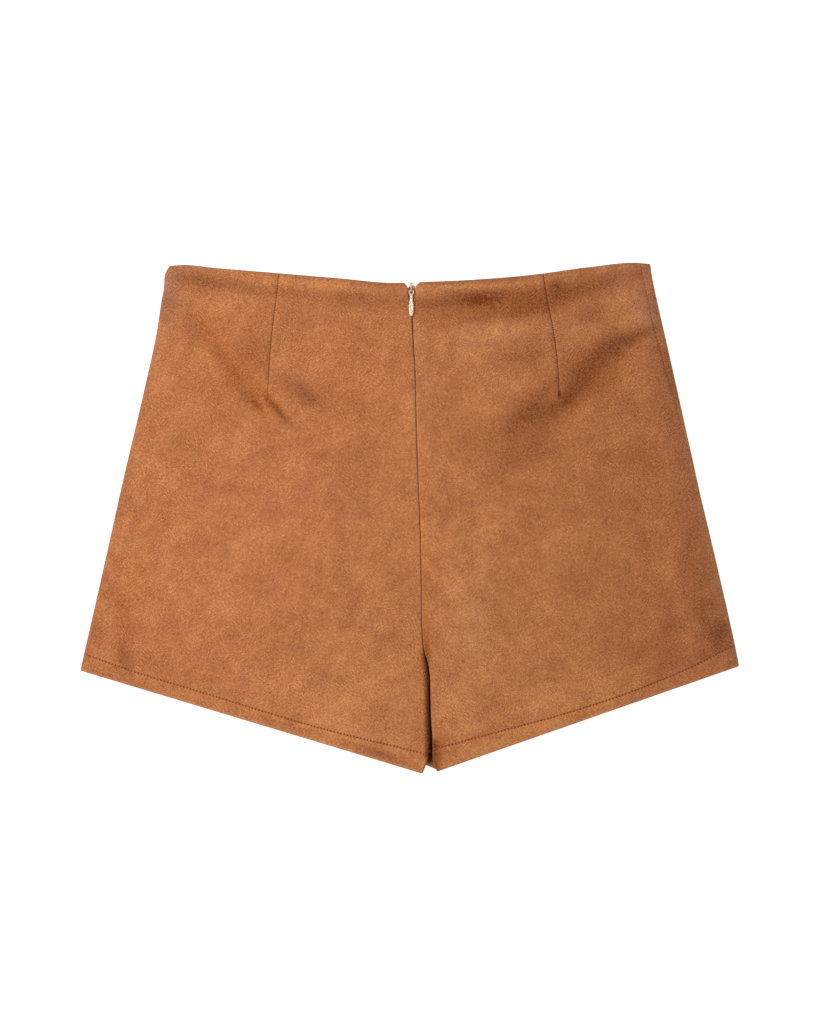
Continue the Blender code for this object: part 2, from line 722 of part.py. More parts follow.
def main():
    for old in list(bpy.data.objects):
        bpy.data.objects.remove(old, do_unlink=True)
    suede = material("faux_suede", SUEDE, 0.85)
    tape = material("zip_tape", TAPE_COLOUR, 0.7)
    enamel = material("zip_enamel", ENAMEL, 0.35)
    skirt_panel(suede)
    for name in ("left", "right"):
        front_panel(name, suede)
        back_panel(name, suede)
        zip_tape(name, tape)
    zip_slider(enamel)
    zip_pull(enamel)


main()
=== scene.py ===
# %% [markdown]
# # A faux-suede skort, laid flat with its back up
#
# This lesson dresses a plain, exact model of a garment until it looks like cloth. The plain
# model is the *frame*: it has the right sizes, and it says what moves, here only the zip's pull
# tab. Each step takes one piece or one finish, says what it is on the real garment, and then
# makes it from a formula.
#
# Lengths are in metres, and in millimetres in the tables. As the back is seen, +X is to the
# right, +Y runs up to the waist, and +Z points out of the cloth.

# %% Load the frame
import math
from functools import partial

import bpy
import numpy as np
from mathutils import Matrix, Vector


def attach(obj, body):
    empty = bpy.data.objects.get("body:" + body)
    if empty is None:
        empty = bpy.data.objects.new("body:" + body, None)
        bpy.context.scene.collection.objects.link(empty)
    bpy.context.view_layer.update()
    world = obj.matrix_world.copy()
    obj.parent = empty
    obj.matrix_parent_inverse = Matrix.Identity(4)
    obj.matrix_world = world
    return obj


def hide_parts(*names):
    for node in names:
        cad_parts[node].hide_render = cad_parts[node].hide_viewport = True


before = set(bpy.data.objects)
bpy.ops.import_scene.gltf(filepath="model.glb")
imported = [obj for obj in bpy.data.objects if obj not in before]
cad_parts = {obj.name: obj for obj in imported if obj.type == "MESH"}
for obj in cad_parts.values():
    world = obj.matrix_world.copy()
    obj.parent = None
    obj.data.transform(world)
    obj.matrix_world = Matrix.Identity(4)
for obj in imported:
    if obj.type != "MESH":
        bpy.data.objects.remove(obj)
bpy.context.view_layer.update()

# %% [markdown]
# ## The cut
#
# A maker starts from a paper pattern, and so does this. One long outline of points would do, but
# nothing in it has a name. In short tables each row is one place down the garment or across it, and
# a smooth curve runs through a column.

# %% The pattern's tables
def table(names, rows, plain=""):
    """Named columns. All are lengths in millimetres, and become metres, but for the plain ones."""
    columns = zip(names.split(), np.array(rows, float).T)
    return {name: column if name in plain.split() else np.round(column / 1000, 8)
            for name, column in columns}


SIDES = table("y left right", (
    (187, -174.7, 176.5), (181.2, -178.8, 177.2), (168, -180.7, 179.7), (160, -182.2, 181.4),
    (137.8, -185.6, 186.5), (93.7, -195.1, 196.4), (27.6, -210.6, 211.1), (-38.6, -225.3, 226.5),
    (-93.7, -237.8, 238.9), (-113, -242.1, 242.7),
))
WAIST = table("x back", (
    (-176.5, 185), (-165, 185.5), (-143, 183.4), (-98.9, 179.7), (-54.8, 176), (-10.7, 172.4), (7, 173),
    (44.5, 174.6), (88.6, 178.2), (132.7, 184.1), (165.7, 187.1), (176.5, 186.2),
))
CENTRE = table("y left right", (
    (173.5, -4.7, 7.4), (168.8, -1.3, 3.7), (164, -0.8, 3.1), (160, 0, 2.5), (155.5, 0.5, 2.4),
    (150, 1, 2.4), (146.5, 1.6, 2.5), (143, 1.8, 2.5), (135, 2.2, 2.7), (126.1, 2.7, 3),
    (108.4, 3.95, 4.05), (73.1, 4.75, 4.85), (29, 6.15, 6.25), (-6.3, 7.65, 7.75), (-41.5, 8.45, 8.55),
    (-85.6, 9.3, 9.4), (-97.4, 10.2, 10.6), (-106.9, 12.4, 13.4), (-114, 13.5, 14.6),
    (-131, 13.9, 15.2), (-151, 14.3, 15.8), (-160, 14.6, 16.5), (-167, 14.3, 16.6), (-175, 13.4, 16.7),
    (-179, 12.6, 17), (-187.4, 9.3, 20.6),
))
FRONT_CENTRE = table("y left right", (
    (175, 1, 1.3), (60, 5, 5.3), (-45, 8.2, 8.5), (-78, 6.8, 12.5), (-100, 7.4, 15.8),
    (-139.3, 11.5, 19), (-169.4, 12.2, 20), (-178.2, 9.9, 20), (-187.4, 6.6, 24),
))
HEM_DEPTH = table("x depth", (
    (-238, 12.8), (-200, 11), (-150, 10.8), (-60, 11), (-3, 14.2), (7.7, 14.7), (13, 14.3),
    (16.5, 17.2), (25, 16.4), (66, 13.2), (110, 9.7), (176, 9), (205, 11.2), (236, 16),
))
SKIRT_HEM = table("x y", (
    (-241.2, -111), (-115, -146.5), (11.9, -181.4), (20.5, -185.1), (241.2, -107.8),
))
DARTS = table("y left right", (
    (180, -95.7, 97.8), (161.2, -97.8, 100.8), (141.6, -100.3, 104.7), (118.5, -102.6, 108),
    (88, -104.2, 109.8), (-170, -112, 118),
))
SIDE_SEAM = table("y left right", (
    (187, -0.5, 8.6), (157, -0.5, 8.2), (143.7, -0.5, 8.7), (132, -0.5, 8.2), (119.6, -0.5, 7.4),
    (109.3, -0.5, 7.1), (95.2, -0.5, 6), (70.9, -0.5, 4.8), (50, -0.5, 2.5), (10, -0.5, 0),
    (-113, -0.5, 0),
))
HEMS = {"left": (-0.2418, -0.1117, 0.0094, -0.1874),     # x and y of the two ends of each leg's hem
        "right": (0.0205, -0.1856, 0.2418, -0.1084)}
INWARD = {"left": 1, "right": -1}
SKIRT_POINT = 0.0205
SKIRT_HEM_DEPTH = 0.0110
DART_TIP = 0.0875
CROTCH = (-0.092, -0.108)   # where the centre seam turns into the inside of the legs
FRONT_WAIST_DROP = 0.0130
WAIST_HALF = 0.176
ROLLED_HALF = 0.164
print("the pattern has", len(SIDES["y"]) + len(WAIST["x"]) + len(CENTRE["y"]), "outline rows")

# %% [markdown]
# ## Curves through the tables
#
# Straight lines between the rows would leave corners, and one high polynomial would swing between
# them. A *cubic Hermite* curve goes through each row with the slope of its neighbours. It takes a
# whole grid of places at once, so nothing below loops over points.

# %% Curves, edges and steps
def curve(rows, along, name, at):
    """Cubic Hermite curve through a column: between two rows, with t from 0 to 1, it is
    (2t^3 - 3t^2 + 1) f0 + (t^3 - 2t^2 + t) h s0 + (3t^2 - 2t^3) f1 + (t^3 - t^2) h s1,
    where h is the step and s0, s1 are the slopes. Past the ends it stays level."""
    order = np.argsort(rows[along])
    x, f = rows[along][order], rows[name][order]
    slope = np.gradient(f, x)
    i = np.clip(np.searchsorted(x, at) - 1, 0, len(x) - 2)
    step = x[i + 1] - x[i]
    t = np.clip((at - x[i]) / step, 0, 1)
    return ((2 * t**3 - 3 * t**2 + 1) * f[i] + (t**3 - 2 * t**2 + t) * step * slope[i]
            + (3 * t**2 - 2 * t**3) * f[i + 1] + (t**3 - t**2) * step * slope[i + 1])


def mix(start, end, share):
    """From start to end as share goes from 0 to 1."""
    return start + (end - start) * share


def ease(value, start, end):
    """Rise from 0 at start to 1 at end along 3t^2 - 2t^3."""
    t = np.clip((value - start) / (end - start), 0, 1)
    return t * t * (3 - 2 * t)


def bell(d):
    """The bell shape exp(-d^2)."""
    return np.exp(-d**2)


side, centre, dart, side_seam = (partial(curve, rows, "y")
                                 for rows in (SIDES, CENTRE, DARTS, SIDE_SEAM))
waist, leg_depth = partial(curve, WAIST, "x", "back"), partial(curve, HEM_DEPTH, "x", "depth")


def seam(y):
    return (centre("left", y) + centre("right", y)) / 2


def front_waist(x, right=ROLLED_HALF):
    """The front's waist edge drops below the back's by a parabola across the waist. It meets
    the back's at the sides; the skirt's right side is nearer, as it has rolled over."""
    reach = np.where(x > 0, right, WAIST_HALF)
    return waist(x) - FRONT_WAIST_DROP * np.clip(1 - (x / reach) ** 2, 0, 1)


def leg_hem(name, x):
    """The straight line between the two ends of a leg's hem, at x."""
    x0, y0, x1, y1 = HEMS[name]
    return y0 + (y1 - y0) * (x - x0) / (x1 - x0)


def hem(x):
    return np.maximum(leg_hem("left", x), leg_hem("right", x))


def skirt_hem(x):
    return np.interp(x, SKIRT_HEM["x"], SKIRT_HEM["y"])


def skirt_depth(x):
    return np.full_like(x, SKIRT_HEM_DEPTH)


print("waist", round(1000 * float(side("right", 0.18) - side("left", 0.18))), "mm across")

# %% [markdown]
# ## How the cloth lies
#
# Cloth on a table stands off where it bends, dips where nothing holds it up, and keeps the creases
# of its folding. A cloth simulation finds such a shape, but not the very one that is wanted. So
# each fold is a row of a table, and a formula gives its form: a ridge, a trough where its height is
# below zero, or a step, which is a ridge on its left that turns into a trough on its right.

# %% Folds, swells and creases
FOLDS = table("x0 y0 x1 y1 width height step", (
    (60, 38, 172, 140, 9.5, 1.2, 1), (12, 146, 120, 153, 9, -0.9, 0), (120, 158, 168, 166, 8, -0.6, 0),
    (24, 117, 105, 129, 7, -0.4, 0), (-100, 154, -8, 150, 7.5, -0.6, 0),
    (-108, 78, -168, 150, 8, 0.6, 1), (-45, 78, -90, 98, 8, 0.5, 1), (30, -110, 34, -20, 11, 0.8, 0),
    (62, -80, 56, -20, 8, 0.5, 0), (-222, -100, -200, -10, 11, -0.6, 0),
), plain="step")
CREASES = table("x0 y0 x1 y1 width height step", (
    (-122.5, 96.5, -109, 76.5, 2.6, -1.1, 0), (-105, 88, -85, 68, 2.4, -1.3, 0),
    (-143, 123, -127, 105, 6, -0.8, 0), (150, 115, 172, 133, 5, -0.6, 0),
    (108, 86, 124, 76, 4.5, 0.7, 0), (102, 90, 110, 78, 4, -0.9, 0), (174, 61, 192, 60, 1.6, 0.4, 0),
    (-70, 90, -48, 85, 7, -0.6, 0), (-162, 156, -148, 160, 3, -0.4, 0), (5, 166, 95, 170, 4, 0.5, 0),
    (-60, 169, -8, 166, 3.5, 0.4, 0), (18, -150, 19, -110, 3.5, -0.4, 0),
    (21.5, -160, 22.8, -183, 2.6, -3, 0), (-22, -172, 5, -179, 2.4, -0.7, 0),
), plain="step")
SWELLS = table("x y long short heading height", (
    (-146, 164, 16, 10, 0, -1), (-175, 30, 28, 70, 0, 0.8), (-70, 10, 50, 65, 0, 0.9),
    (-100, -90, 60, 30, 0, 0.6), (125, -20, 55, 60, 0, 1), (150, 85, 24, 20, 0, 0.7),
    (205, -62, 18, 24, 0, -0.7),
), plain="heading")
RIPPLES = table("length heading phase height", (
    (47, 0.6, 0.3, 0.22), (34, 2.1, 1.7, 0.18), (23, 1.2, 4.1, 0.1), (17, 2.7, 2.6, 0.07),
), plain="heading phase")


def folds(rows, x, y):
    """Sum of folds. Across each one, at d = (distance from its line) / width, a ridge is
    exp(-d^2) and a step is -d exp(1/2 - d^2 / 2). Both fade out past the line's ends."""
    height = np.zeros_like(x)
    for x0, y0, x1, y1, width, crest, step in zip(*rows.values()):
        length = math.hypot(x1 - x0, y1 - y0)
        ux, uy = (x1 - x0) / length, (y1 - y0) / length
        along = ((x - x0) * ux + (y - y0) * uy) / length
        d = ((x - x0) * uy - (y - y0) * ux) / width
        ends = ease(along, -0.10, 0.25) * ease(along, 1.10, 0.70)
        height += crest * ends * (-d * np.exp(0.5 - 0.5 * d**2) if step else bell(d))
    return height


def patches(rows, x, y):
    """Sum of slanted bell shapes, each strength * exp(-(a / long)^2 - (b / short)^2), where a
    runs along the heading, in degrees, and b runs across it."""
    total = np.zeros_like(x)
    for cx, cy, long, short, heading, strength in zip(*rows.values()):
        c, s = math.cos(math.radians(heading)), math.sin(math.radians(heading))
        a = ((x - cx) * c + (y - cy) * s) / long
        b = ((y - cy) * c - (x - cx) * s) / short
        total += strength * np.exp(-a**2 - b**2)
    return total


def ripples(x, y):
    """Sum of long low waves that cross each other, each height * sin(2 pi d / length + phase)."""
    height = np.zeros_like(x)
    for length, heading, phase, crest in zip(*RIPPLES.values()):
        d = x * math.cos(heading) + y * math.sin(heading)
        height += crest * np.sin(2 * math.pi * d / length + phase)
    return height


print(len(FOLDS["x0"]), "folds,", len(CREASES["x0"]), "creases,", len(SWELLS["x"]), "swells")

# %% [markdown]
# ## The back's height
#
# Four layers lie on each other: the skirt panel, the shorts fronts, air, and the back. The back is
# highest over the hems, where every layer is doubled. Folds fade out at the sides, the seam and the
# hems, because there the cloth is held.

# %% Layers of cloth
CLOTH = 0.0010
HEM_CLOTH = 0.0019
LAYER_GAP = 0.0004
SEAM_GAP = 0.00004
FRONT_LEVELS = (CLOTH + LAYER_GAP, HEM_CLOTH + LAYER_GAP)       # over the panel and over the hems
BACK_LEVELS = (0.0056, FRONT_LEVELS[1] + 2 * HEM_CLOTH + LAYER_GAP)
LEVEL_RISE = (0.027, 0.021)
QUIET_EDGE = 0.014
QUIET_SEAM = 0.013
DART_HALF = 0.0022
DART_GROOVE = 0.00035
DART_CREASE = 0.00028       # a sharper crease in the groove, over the stitches
CREASE_HALF = 0.0003
DART_FADE = 0.012
DART_INTAKE = 0.011
DART_STEP = 0.0002
PUCKER = 0.00012            # height and spacing of the puckers along a sewn line
PUCKER_PITCH = 0.0071
PUCKER_REACH = 0.005
HEM_PUFF = 0.0003           # how far the hem's fold swells between the stitching and the edge
HEM_PUCKER_PITCH = 0.0093
STITCH_GROOVE = 0.0004


def level(levels, x, y):
    """Height of a layer: low over the panel, high over the hems."""
    return mix(*levels, ease(y - hem(x), *LEVEL_RISE))


def relief(x, y):
    """All folds of the back, quiet near the sides, the centre seam and the hems."""
    from_side = np.minimum(x - side("left", y), side("right", y) - x)
    held = ease(from_side, 0.003, QUIET_EDGE) * (1 - bell((x - seam(y)) / QUIET_SEAM))
    above = y - hem(x)
    broad = (folds(FOLDS, x, y) + patches(SWELLS, x, y)) * ease(above, 0.020, 0.045)
    fine = folds(CREASES, x, y) + ripples(x, y) * mix(0.4, 1.0, ease(above, 0.010, 0.030))
    return held * (broad + fine)


def dart_relief(x, y):
    """Groove over each dart seam with a sharp crease in it, beside the cloth folded under."""
    height = np.zeros_like(x)
    intake = DART_INTAKE * np.clip((y - DART_TIP) / (WAIST["back"].max() - DART_TIP), 0.05, 1)
    wave = np.sin(2 * math.pi * y / PUCKER_PITCH + np.sin(y * 310))
    for name, inward in INWARD.items():
        across = (x - dart(name, y)) * inward
        away = np.abs(across)
        height -= DART_GROOVE * np.clip(1 - away / DART_HALF, 0, 1)
        height -= DART_CREASE * np.clip(1 - away / CREASE_HALF, 0, 1)
        height += DART_STEP * ease(across, 0, DART_HALF) * ease(across, 2 * intake, intake)
        height += PUCKER * wave * bell(away / PUCKER_REACH)
    return height * ease(y, DART_TIP - 0.001, DART_TIP + DART_FADE)


def hem_relief(x, y):
    """Groove under the hem stitching, and the puckered puff of the fold below it."""
    fraction = (y - hem(x)) / leg_depth(x)
    groove = STITCH_GROOVE * np.clip(1 - np.abs(fraction - 1) / 0.09, 0, 1)
    below = np.clip(fraction * (1 - fraction) * 4, 0, 1)
    wave = np.sin(2 * math.pi * x / HEM_PUCKER_PITCH + 1.3 * np.sin(x * 97)) * np.sin(x * 41 + 1)
    return below * (HEM_PUFF + PUCKER * wave) - groove


def back_top(x, y):
    """Height of the back's outer face, away from the rolled edges."""
    return level(BACK_LEVELS, x, y) + relief(x, y) + dart_relief(x, y) + hem_relief(x, y)


print("the back lies", np.round(1000 * np.array(BACK_LEVELS), 1), "mm up")

# %% [markdown]
# ## Rolled edges
#
# At the side of a flat garment the cloth turns round through half a circle. At the centre seam each
# panel dips to the stitching, and below the crotch the same edge turns down as the inside of a leg.
# An edge that just stopped would look like sheet metal, so both are arcs, followed by a length
# along the cloth.

# %% Rolls
LIP_RADIUS = 0.0012
LEG_RADIUS = (BACK_LEVELS[0] - FRONT_LEVELS[0]) / 2
ROLL_ENDS = (math.radians(10), math.radians(-68))       # at the seam, and round a leg


def side_radius(name, y):
    return level(BACK_LEVELS, side(name, y), y) / 2


def side_roll(name, along, y):
    """Half circle round a side edge, then flat. With a = along / radius, the cloth is at
    radius (1 - cos a) in from the edge, and radius (1 + sin a) up."""
    radius = side_radius(name, y)
    angle = np.clip(along / radius, -math.pi / 2, math.pi / 2)
    flat = np.abs(along) - np.abs(angle) * radius
    x = side(name, y) + INWARD[name] * (radius * (1 - np.cos(angle)) + flat)
    over = along > radius * math.pi / 2
    return x, np.where(over, back_top(x, y), radius + radius * np.sin(angle))


def centre_roll(name, fraction, y):
    """Arc from level down to the seam, or down round a leg; its radius and its end angle
    change at the crotch."""
    leg = ease(y, *CROTCH)
    radius = mix(LIP_RADIUS, LEG_RADIUS, leg)
    angle = mix(math.pi / 2, mix(*ROLL_ENDS, leg), fraction)
    x = centre(name, y) - INWARD[name] * radius * (1 - np.cos(angle))
    return x, back_top(x, y) - radius * (1 - np.sin(angle))


print("leg roll radius", round(1000 * LEG_RADIUS, 2), "mm")

# %% [markdown]
# ## A strip of cloth as a grid
#
# A panel is a few strips side by side, each a function of two parameters: u across it and v down
# it. The rows follow the slanted hem, so one of them is the stitching line. As y then depends on x,
# and x on y at a slanted side, both are worked out in turn until they settle.

# %% Strips
SETTLE_ROUNDS = 12
HEM_TOP = 1.12
WAIST_ROWS = (0.0, 0.0008, 0.002, 0.0035, 0.0055, 0.008, 0.011, 0.0145)
HEM_ROWS = (0.0125, 0.0105, 0.0085, 0.0068, 0.0052, 0.0039, 0.0028)
HEM_FRACTIONS = (HEM_TOP, 1.08, 1.05, 1.025, 1.0, 0.975, 0.95, 0.9, 0.8, 0.65, 0.5, 0.35, 0.2, 0.1,
                 0.05, 0.0)
BACK_ROWS = 160


def stations(waist_rows, middle):
    """Places down a panel, one row of numbers each: share of the way from waist to hem,
    distance below the waist, distance above the hem stitching, fraction of the hem's depth.
    Gives them with the number of the stitching's row."""
    rows = [(0, off, 0, 0) for off in waist_rows]
    rows += [((i + 1) / (middle + 1), waist_rows[-1], HEM_ROWS[0], 1) for i in range(middle)]
    rows += [(1, 0, off, 1) for off in HEM_ROWS]
    rows += [(1, 0, 0, fraction) for fraction in HEM_FRACTIONS]
    return np.array(rows), rows.index((1, 0, 0, 1.0))


def stack(*parts):
    """Arrays or numbers as one array with a last axis."""
    return np.stack(np.broadcast_arrays(*parts), axis=-1)


def cloth_grid(cut, places, top, bottom, depth):
    """Grid of points (rows, columns, 3) from strips that share their border columns. A strip
    has a function place(u, y), which gives x and z, and its values of u. y comes from the
    edges at x, for each place down the panel."""
    share, from_top, from_bottom, fraction = (column[:, None] for column in places.T)
    grids = []
    for place, u in cut:
        u = np.broadcast_to(u, (len(places), len(u)))
        y = np.broadcast_to(np.linspace(top(0.0), bottom(0.0), len(places))[:, None], u.shape)
        for _ in range(SETTLE_ROUNDS):
            x, _ = place(u, y)
            low = bottom(x) + from_bottom + fraction * depth(x)
            y = (1 - share) * (top(x) - from_top) + share * low
        x, z = place(u, y)
        grids.append(stack(x, y, z))
    return np.concatenate([grids[0]] + [grid[:, 1:] for grid in grids[1:]], axis=1)


def lengths(grid):
    """Length of cloth along each row, from the first column: the running sum of the steps."""
    steps = np.linalg.norm(np.diff(grid, axis=1), axis=2)
    return np.concatenate([np.zeros((len(grid), 1)), np.cumsum(steps, axis=1)], axis=1)


back_places, back_stitch_row = stations(WAIST_ROWS, BACK_ROWS)
print(len(back_places), "rows down a back panel; the stitching is row", back_stitch_row)

# %% [markdown]
# ## From a grid to a shell
#
# A surface has no thickness, and Solidify would give it square edges, while cut and folded cloth
# has round ones. So the shell is made in one go: outer face, inner face, and a half-round rim
# between them. The same grid carries what the finish needs: the place on the flat cloth, the
# distance from each sewn line, and the nap's tone, which holds brushing and painted shade and light.

# %% Shells
RIM_RINGS = 5
RIM_STEP = 0.0003           # how far the nap's pattern moves on from ring to ring
RIM_PAINTED_LIGHT = 0.35             # painted light: how much lighter the rim is painted, where it faces sideways


def unit(vectors):
    return vectors / np.linalg.norm(vectors, axis=-1, keepdims=True)


def normals(grid):
    """Unit normals of a grid: the cross product of its directions across and down."""
    down, over = (np.gradient(grid, axis=way, edge_order=2) for way in (0, 1))
    return unit(np.cross(over, down))


def quads(index):
    """Four-cornered faces between the neighbours in one or more grids of vertex numbers."""
    corners = (index[..., :-1, :-1], index[..., 1:, :-1], index[..., 1:, 1:], index[..., :-1, 1:])
    return np.stack(corners, axis=-1).reshape(-1, 4)


def border(grid):
    """The grid's rim in order: first row, last column, last row back, first column back."""
    return np.concatenate([grid[0, :], grid[1:, -1], grid[-1, -2::-1], grid[-2:0:-1, 0]])


def put_mesh(name, points, faces, finishes, face_finish=None, uv=None, masks=None):
    """Object from arrays: points, faces, and for each point its uv and named masks."""
    mesh = bpy.data.meshes.new(name)
    mesh.from_pydata(points.tolist(), [], [row.tolist() for row in faces])
    for finish in finishes:
        mesh.materials.append(finish)
    if uv is not None:
        mesh.polygons.foreach_set("material_index", face_finish.astype(np.int32))
        corner = np.zeros(len(mesh.loops), np.int32)
        mesh.loops.foreach_get("vertex_index", corner)
        mesh.uv_layers.new(name="cloth").data.foreach_set("uv", uv[corner].astype(np.float32).ravel())
    for mask, values in (masks or {}).items():
        layer = mesh.attributes.new(mask, "FLOAT_VECTOR", "POINT")
        layer.data.foreach_set("vector", values.astype(np.float32).ravel())
    mesh.shade_smooth()
    mesh.update()
    made = bpy.data.objects.new(name, mesh)
    bpy.context.collection.objects.link(made)
    return made


def shell(name, outer, thickness, facing, bulge, finishes, hemmed, uv, masks):
    """Closed cloth wall with a half-round rim. The rim's ring at the angle a lies at
    middle + thickness / 2 cos(a) * normal + bulge sin(a) * outwards, with a from 0 to pi."""
    normal = facing * normals(outer)
    inner = outer - normal * thickness[..., None]
    edge, edge_normal, half = border(outer), border(normal), border(thickness)[:, None] / 2
    ahead = np.roll(edge, -1, axis=0) - np.roll(edge, 1, axis=0)
    outwards = unit(facing * np.cross(edge_normal, ahead))
    angle = np.linspace(0, math.pi, RIM_RINGS + 2)[1:-1, None, None]
    rings = (edge - edge_normal * half + half * np.cos(angle) * edge_normal
             + border(bulge)[:, None] * np.sin(angle) * outwards)
    points = np.concatenate([part.reshape(-1, 3) for part in (outer, inner, rings)])
    size, around = thickness.size, len(edge)
    number = np.arange(size).reshape(thickness.shape)
    rim = 2 * size + np.arange(RIM_RINGS * around).reshape(RIM_RINGS, around)
    rim = np.concatenate([border(number)[None], rim, border(number)[None] + size])
    rim = np.concatenate([rim, rim[:, :1]], axis=1)
    front, back = quads(number), quads(number + size)[:, ::-1]
    faces = np.concatenate([front, back, quads(rim)[:, ::-1]])[:, ::-facing]

    def spread(values):
        """Repeat a grid's values for the inner face and the rim."""
        flat = values.reshape(size, -1)
        return np.concatenate([flat, flat, np.tile(border(values), (RIM_RINGS, 1))])

    inside = np.zeros(len(faces), int)
    inside[len(front):2 * len(front)] = ~hemmed[:-1, :-1].ravel()
    masks = {mask: spread(values) for mask, values in masks.items()}
    uv = spread(uv)
    uv[2 * size:, 1] -= RIM_STEP * np.repeat(np.arange(RIM_RINGS) + 1, around)
    # The rim is painted lighter, as light on its nap.
    if "nap_and_painted_light" in masks:
        masks["nap_and_painted_light"][2 * size:, 0] += RIM_PAINTED_LIGHT
    return put_mesh(name, points, faces, finishes, inside, uv, masks)


def wear(made, body, node_name=None):
    """Say which body a piece moves with, and hide the plain node that it stands for."""
    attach(made, body)
    if node_name:
        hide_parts(node_name)
    print(made.name, len(made.data.polygons), "faces")
    return made


print("a shell's rim has", RIM_RINGS, "rings")

# %% [markdown]
# ## Building blocks for finishes
#
# A finish is a small network of nodes, and by hand each node takes five lines. So a few helpers
# come first: they add a node and join its sockets, make a *node group*, which several finishes use
# with their own values, and start and end a material.

# %% Node helpers
def node(tree, kind, inputs=None, **settings):
    """Add a node and give its outputs. An input is a value, or an output to be joined to."""
    made = tree.nodes.new(kind)
    for key, value in settings.items():
        setattr(made, key, value)
    for key, value in (inputs or {}).items():
        if isinstance(value, bpy.types.NodeSocket):
            tree.links.new(value, made.inputs[key])
        else:
            made.inputs[key].default_value = value
    return made.outputs


def maths(tree, operation, first, second=0.5, third=0.5, clamp=False):
    """Output of a Math node."""
    return node(tree, "ShaderNodeMath", {0: first, 1: second, 2: third}, operation=operation,
                use_clamp=clamp)[0]


def smooth(tree, value, start, end):
    """Output that rises smoothly from 0 to 1 as value goes from start to end."""
    return node(tree, "ShaderNodeMapRange", {"Value": value, "From Min": start, "From Max": end},
                interpolation_type="SMOOTHSTEP")["Result"]


def noise(tree, vector, scale, detail, roughness=0.5):
    return node(tree, "ShaderNodeTexNoise", {"Vector": vector, "Scale": scale, "Detail": detail,
                                             "Roughness": roughness})["Fac"]


def blend(tree, share, first, second):
    """Colour from the first to the second as share goes from 0 to 1."""
    first, second = ((*colour, 1) if isinstance(colour, tuple) else colour
                     for colour in (first, second))
    return node(tree, "ShaderNodeMix", {0: share, 6: first, 7: second}, data_type="RGBA")[2]


def parts_of(tree, vector):
    return node(tree, "ShaderNodeSeparateXYZ", {0: vector})


def mask_of(tree, name):
    return node(tree, "ShaderNodeAttribute", attribute_name=name)["Vector"]


def group(name, inputs, outputs):
    """New node group with named sockets; gives its tree, its input node and its output node."""
    tree = bpy.data.node_groups.new(name, "ShaderNodeTree")
    for kind, sockets in (("INPUT", inputs), ("OUTPUT", outputs)):
        for label, socket in sockets.items():
            tree.interface.new_socket(label, in_out=kind, socket_type="NodeSocket" + socket)
    return tree, tree.nodes.new("NodeGroupInput").outputs, tree.nodes.new("NodeGroupOutput").inputs


def material(name, colour, settings):
    """New material; gives it, its tree and its Principled shader's inputs."""
    made = bpy.data.materials.new(name)
    made.use_nodes = True
    made.diffuse_color = (*colour, 1)
    shader = made.node_tree.nodes["Principled BSDF"].inputs
    for key, value in {"Base Color": (*colour, 1), **settings}.items():
        shader[key].default_value = value
    return made, made.node_tree, shader


def finish(tree, shader, colour, height, strength, distance):
    """Join a colour to a shader, and the bumps that a height makes."""
    bump = node(tree, "ShaderNodeBump", {"Height": height, "Strength": strength,
                                         "Distance": distance})
    tree.links.new(colour, shader["Base Color"])
    tree.links.new(bump["Normal"], shader["Normal"])


print("node helpers are ready")

# %% [markdown]
# ## The nap
#
# Faux suede is a knit whose face is sanded into short fibres. They lie in strands one to three
# millimetres long, some leaning left and some right. An image would repeat and blur. Noise does
# neither: stretched along one slant it gives strands, two slants are mixed in patches, and slower
# noise gives the clouds.

# %% Node group: nap
STRAND_STRETCH = 2.8
DEEPEST_PAINTED_SHADE = (0.010, 0.002, 0.0)         # near black where the tone falls below -1.6: painted shade in the slit between the legs, and a dark dot at the right dart's tip


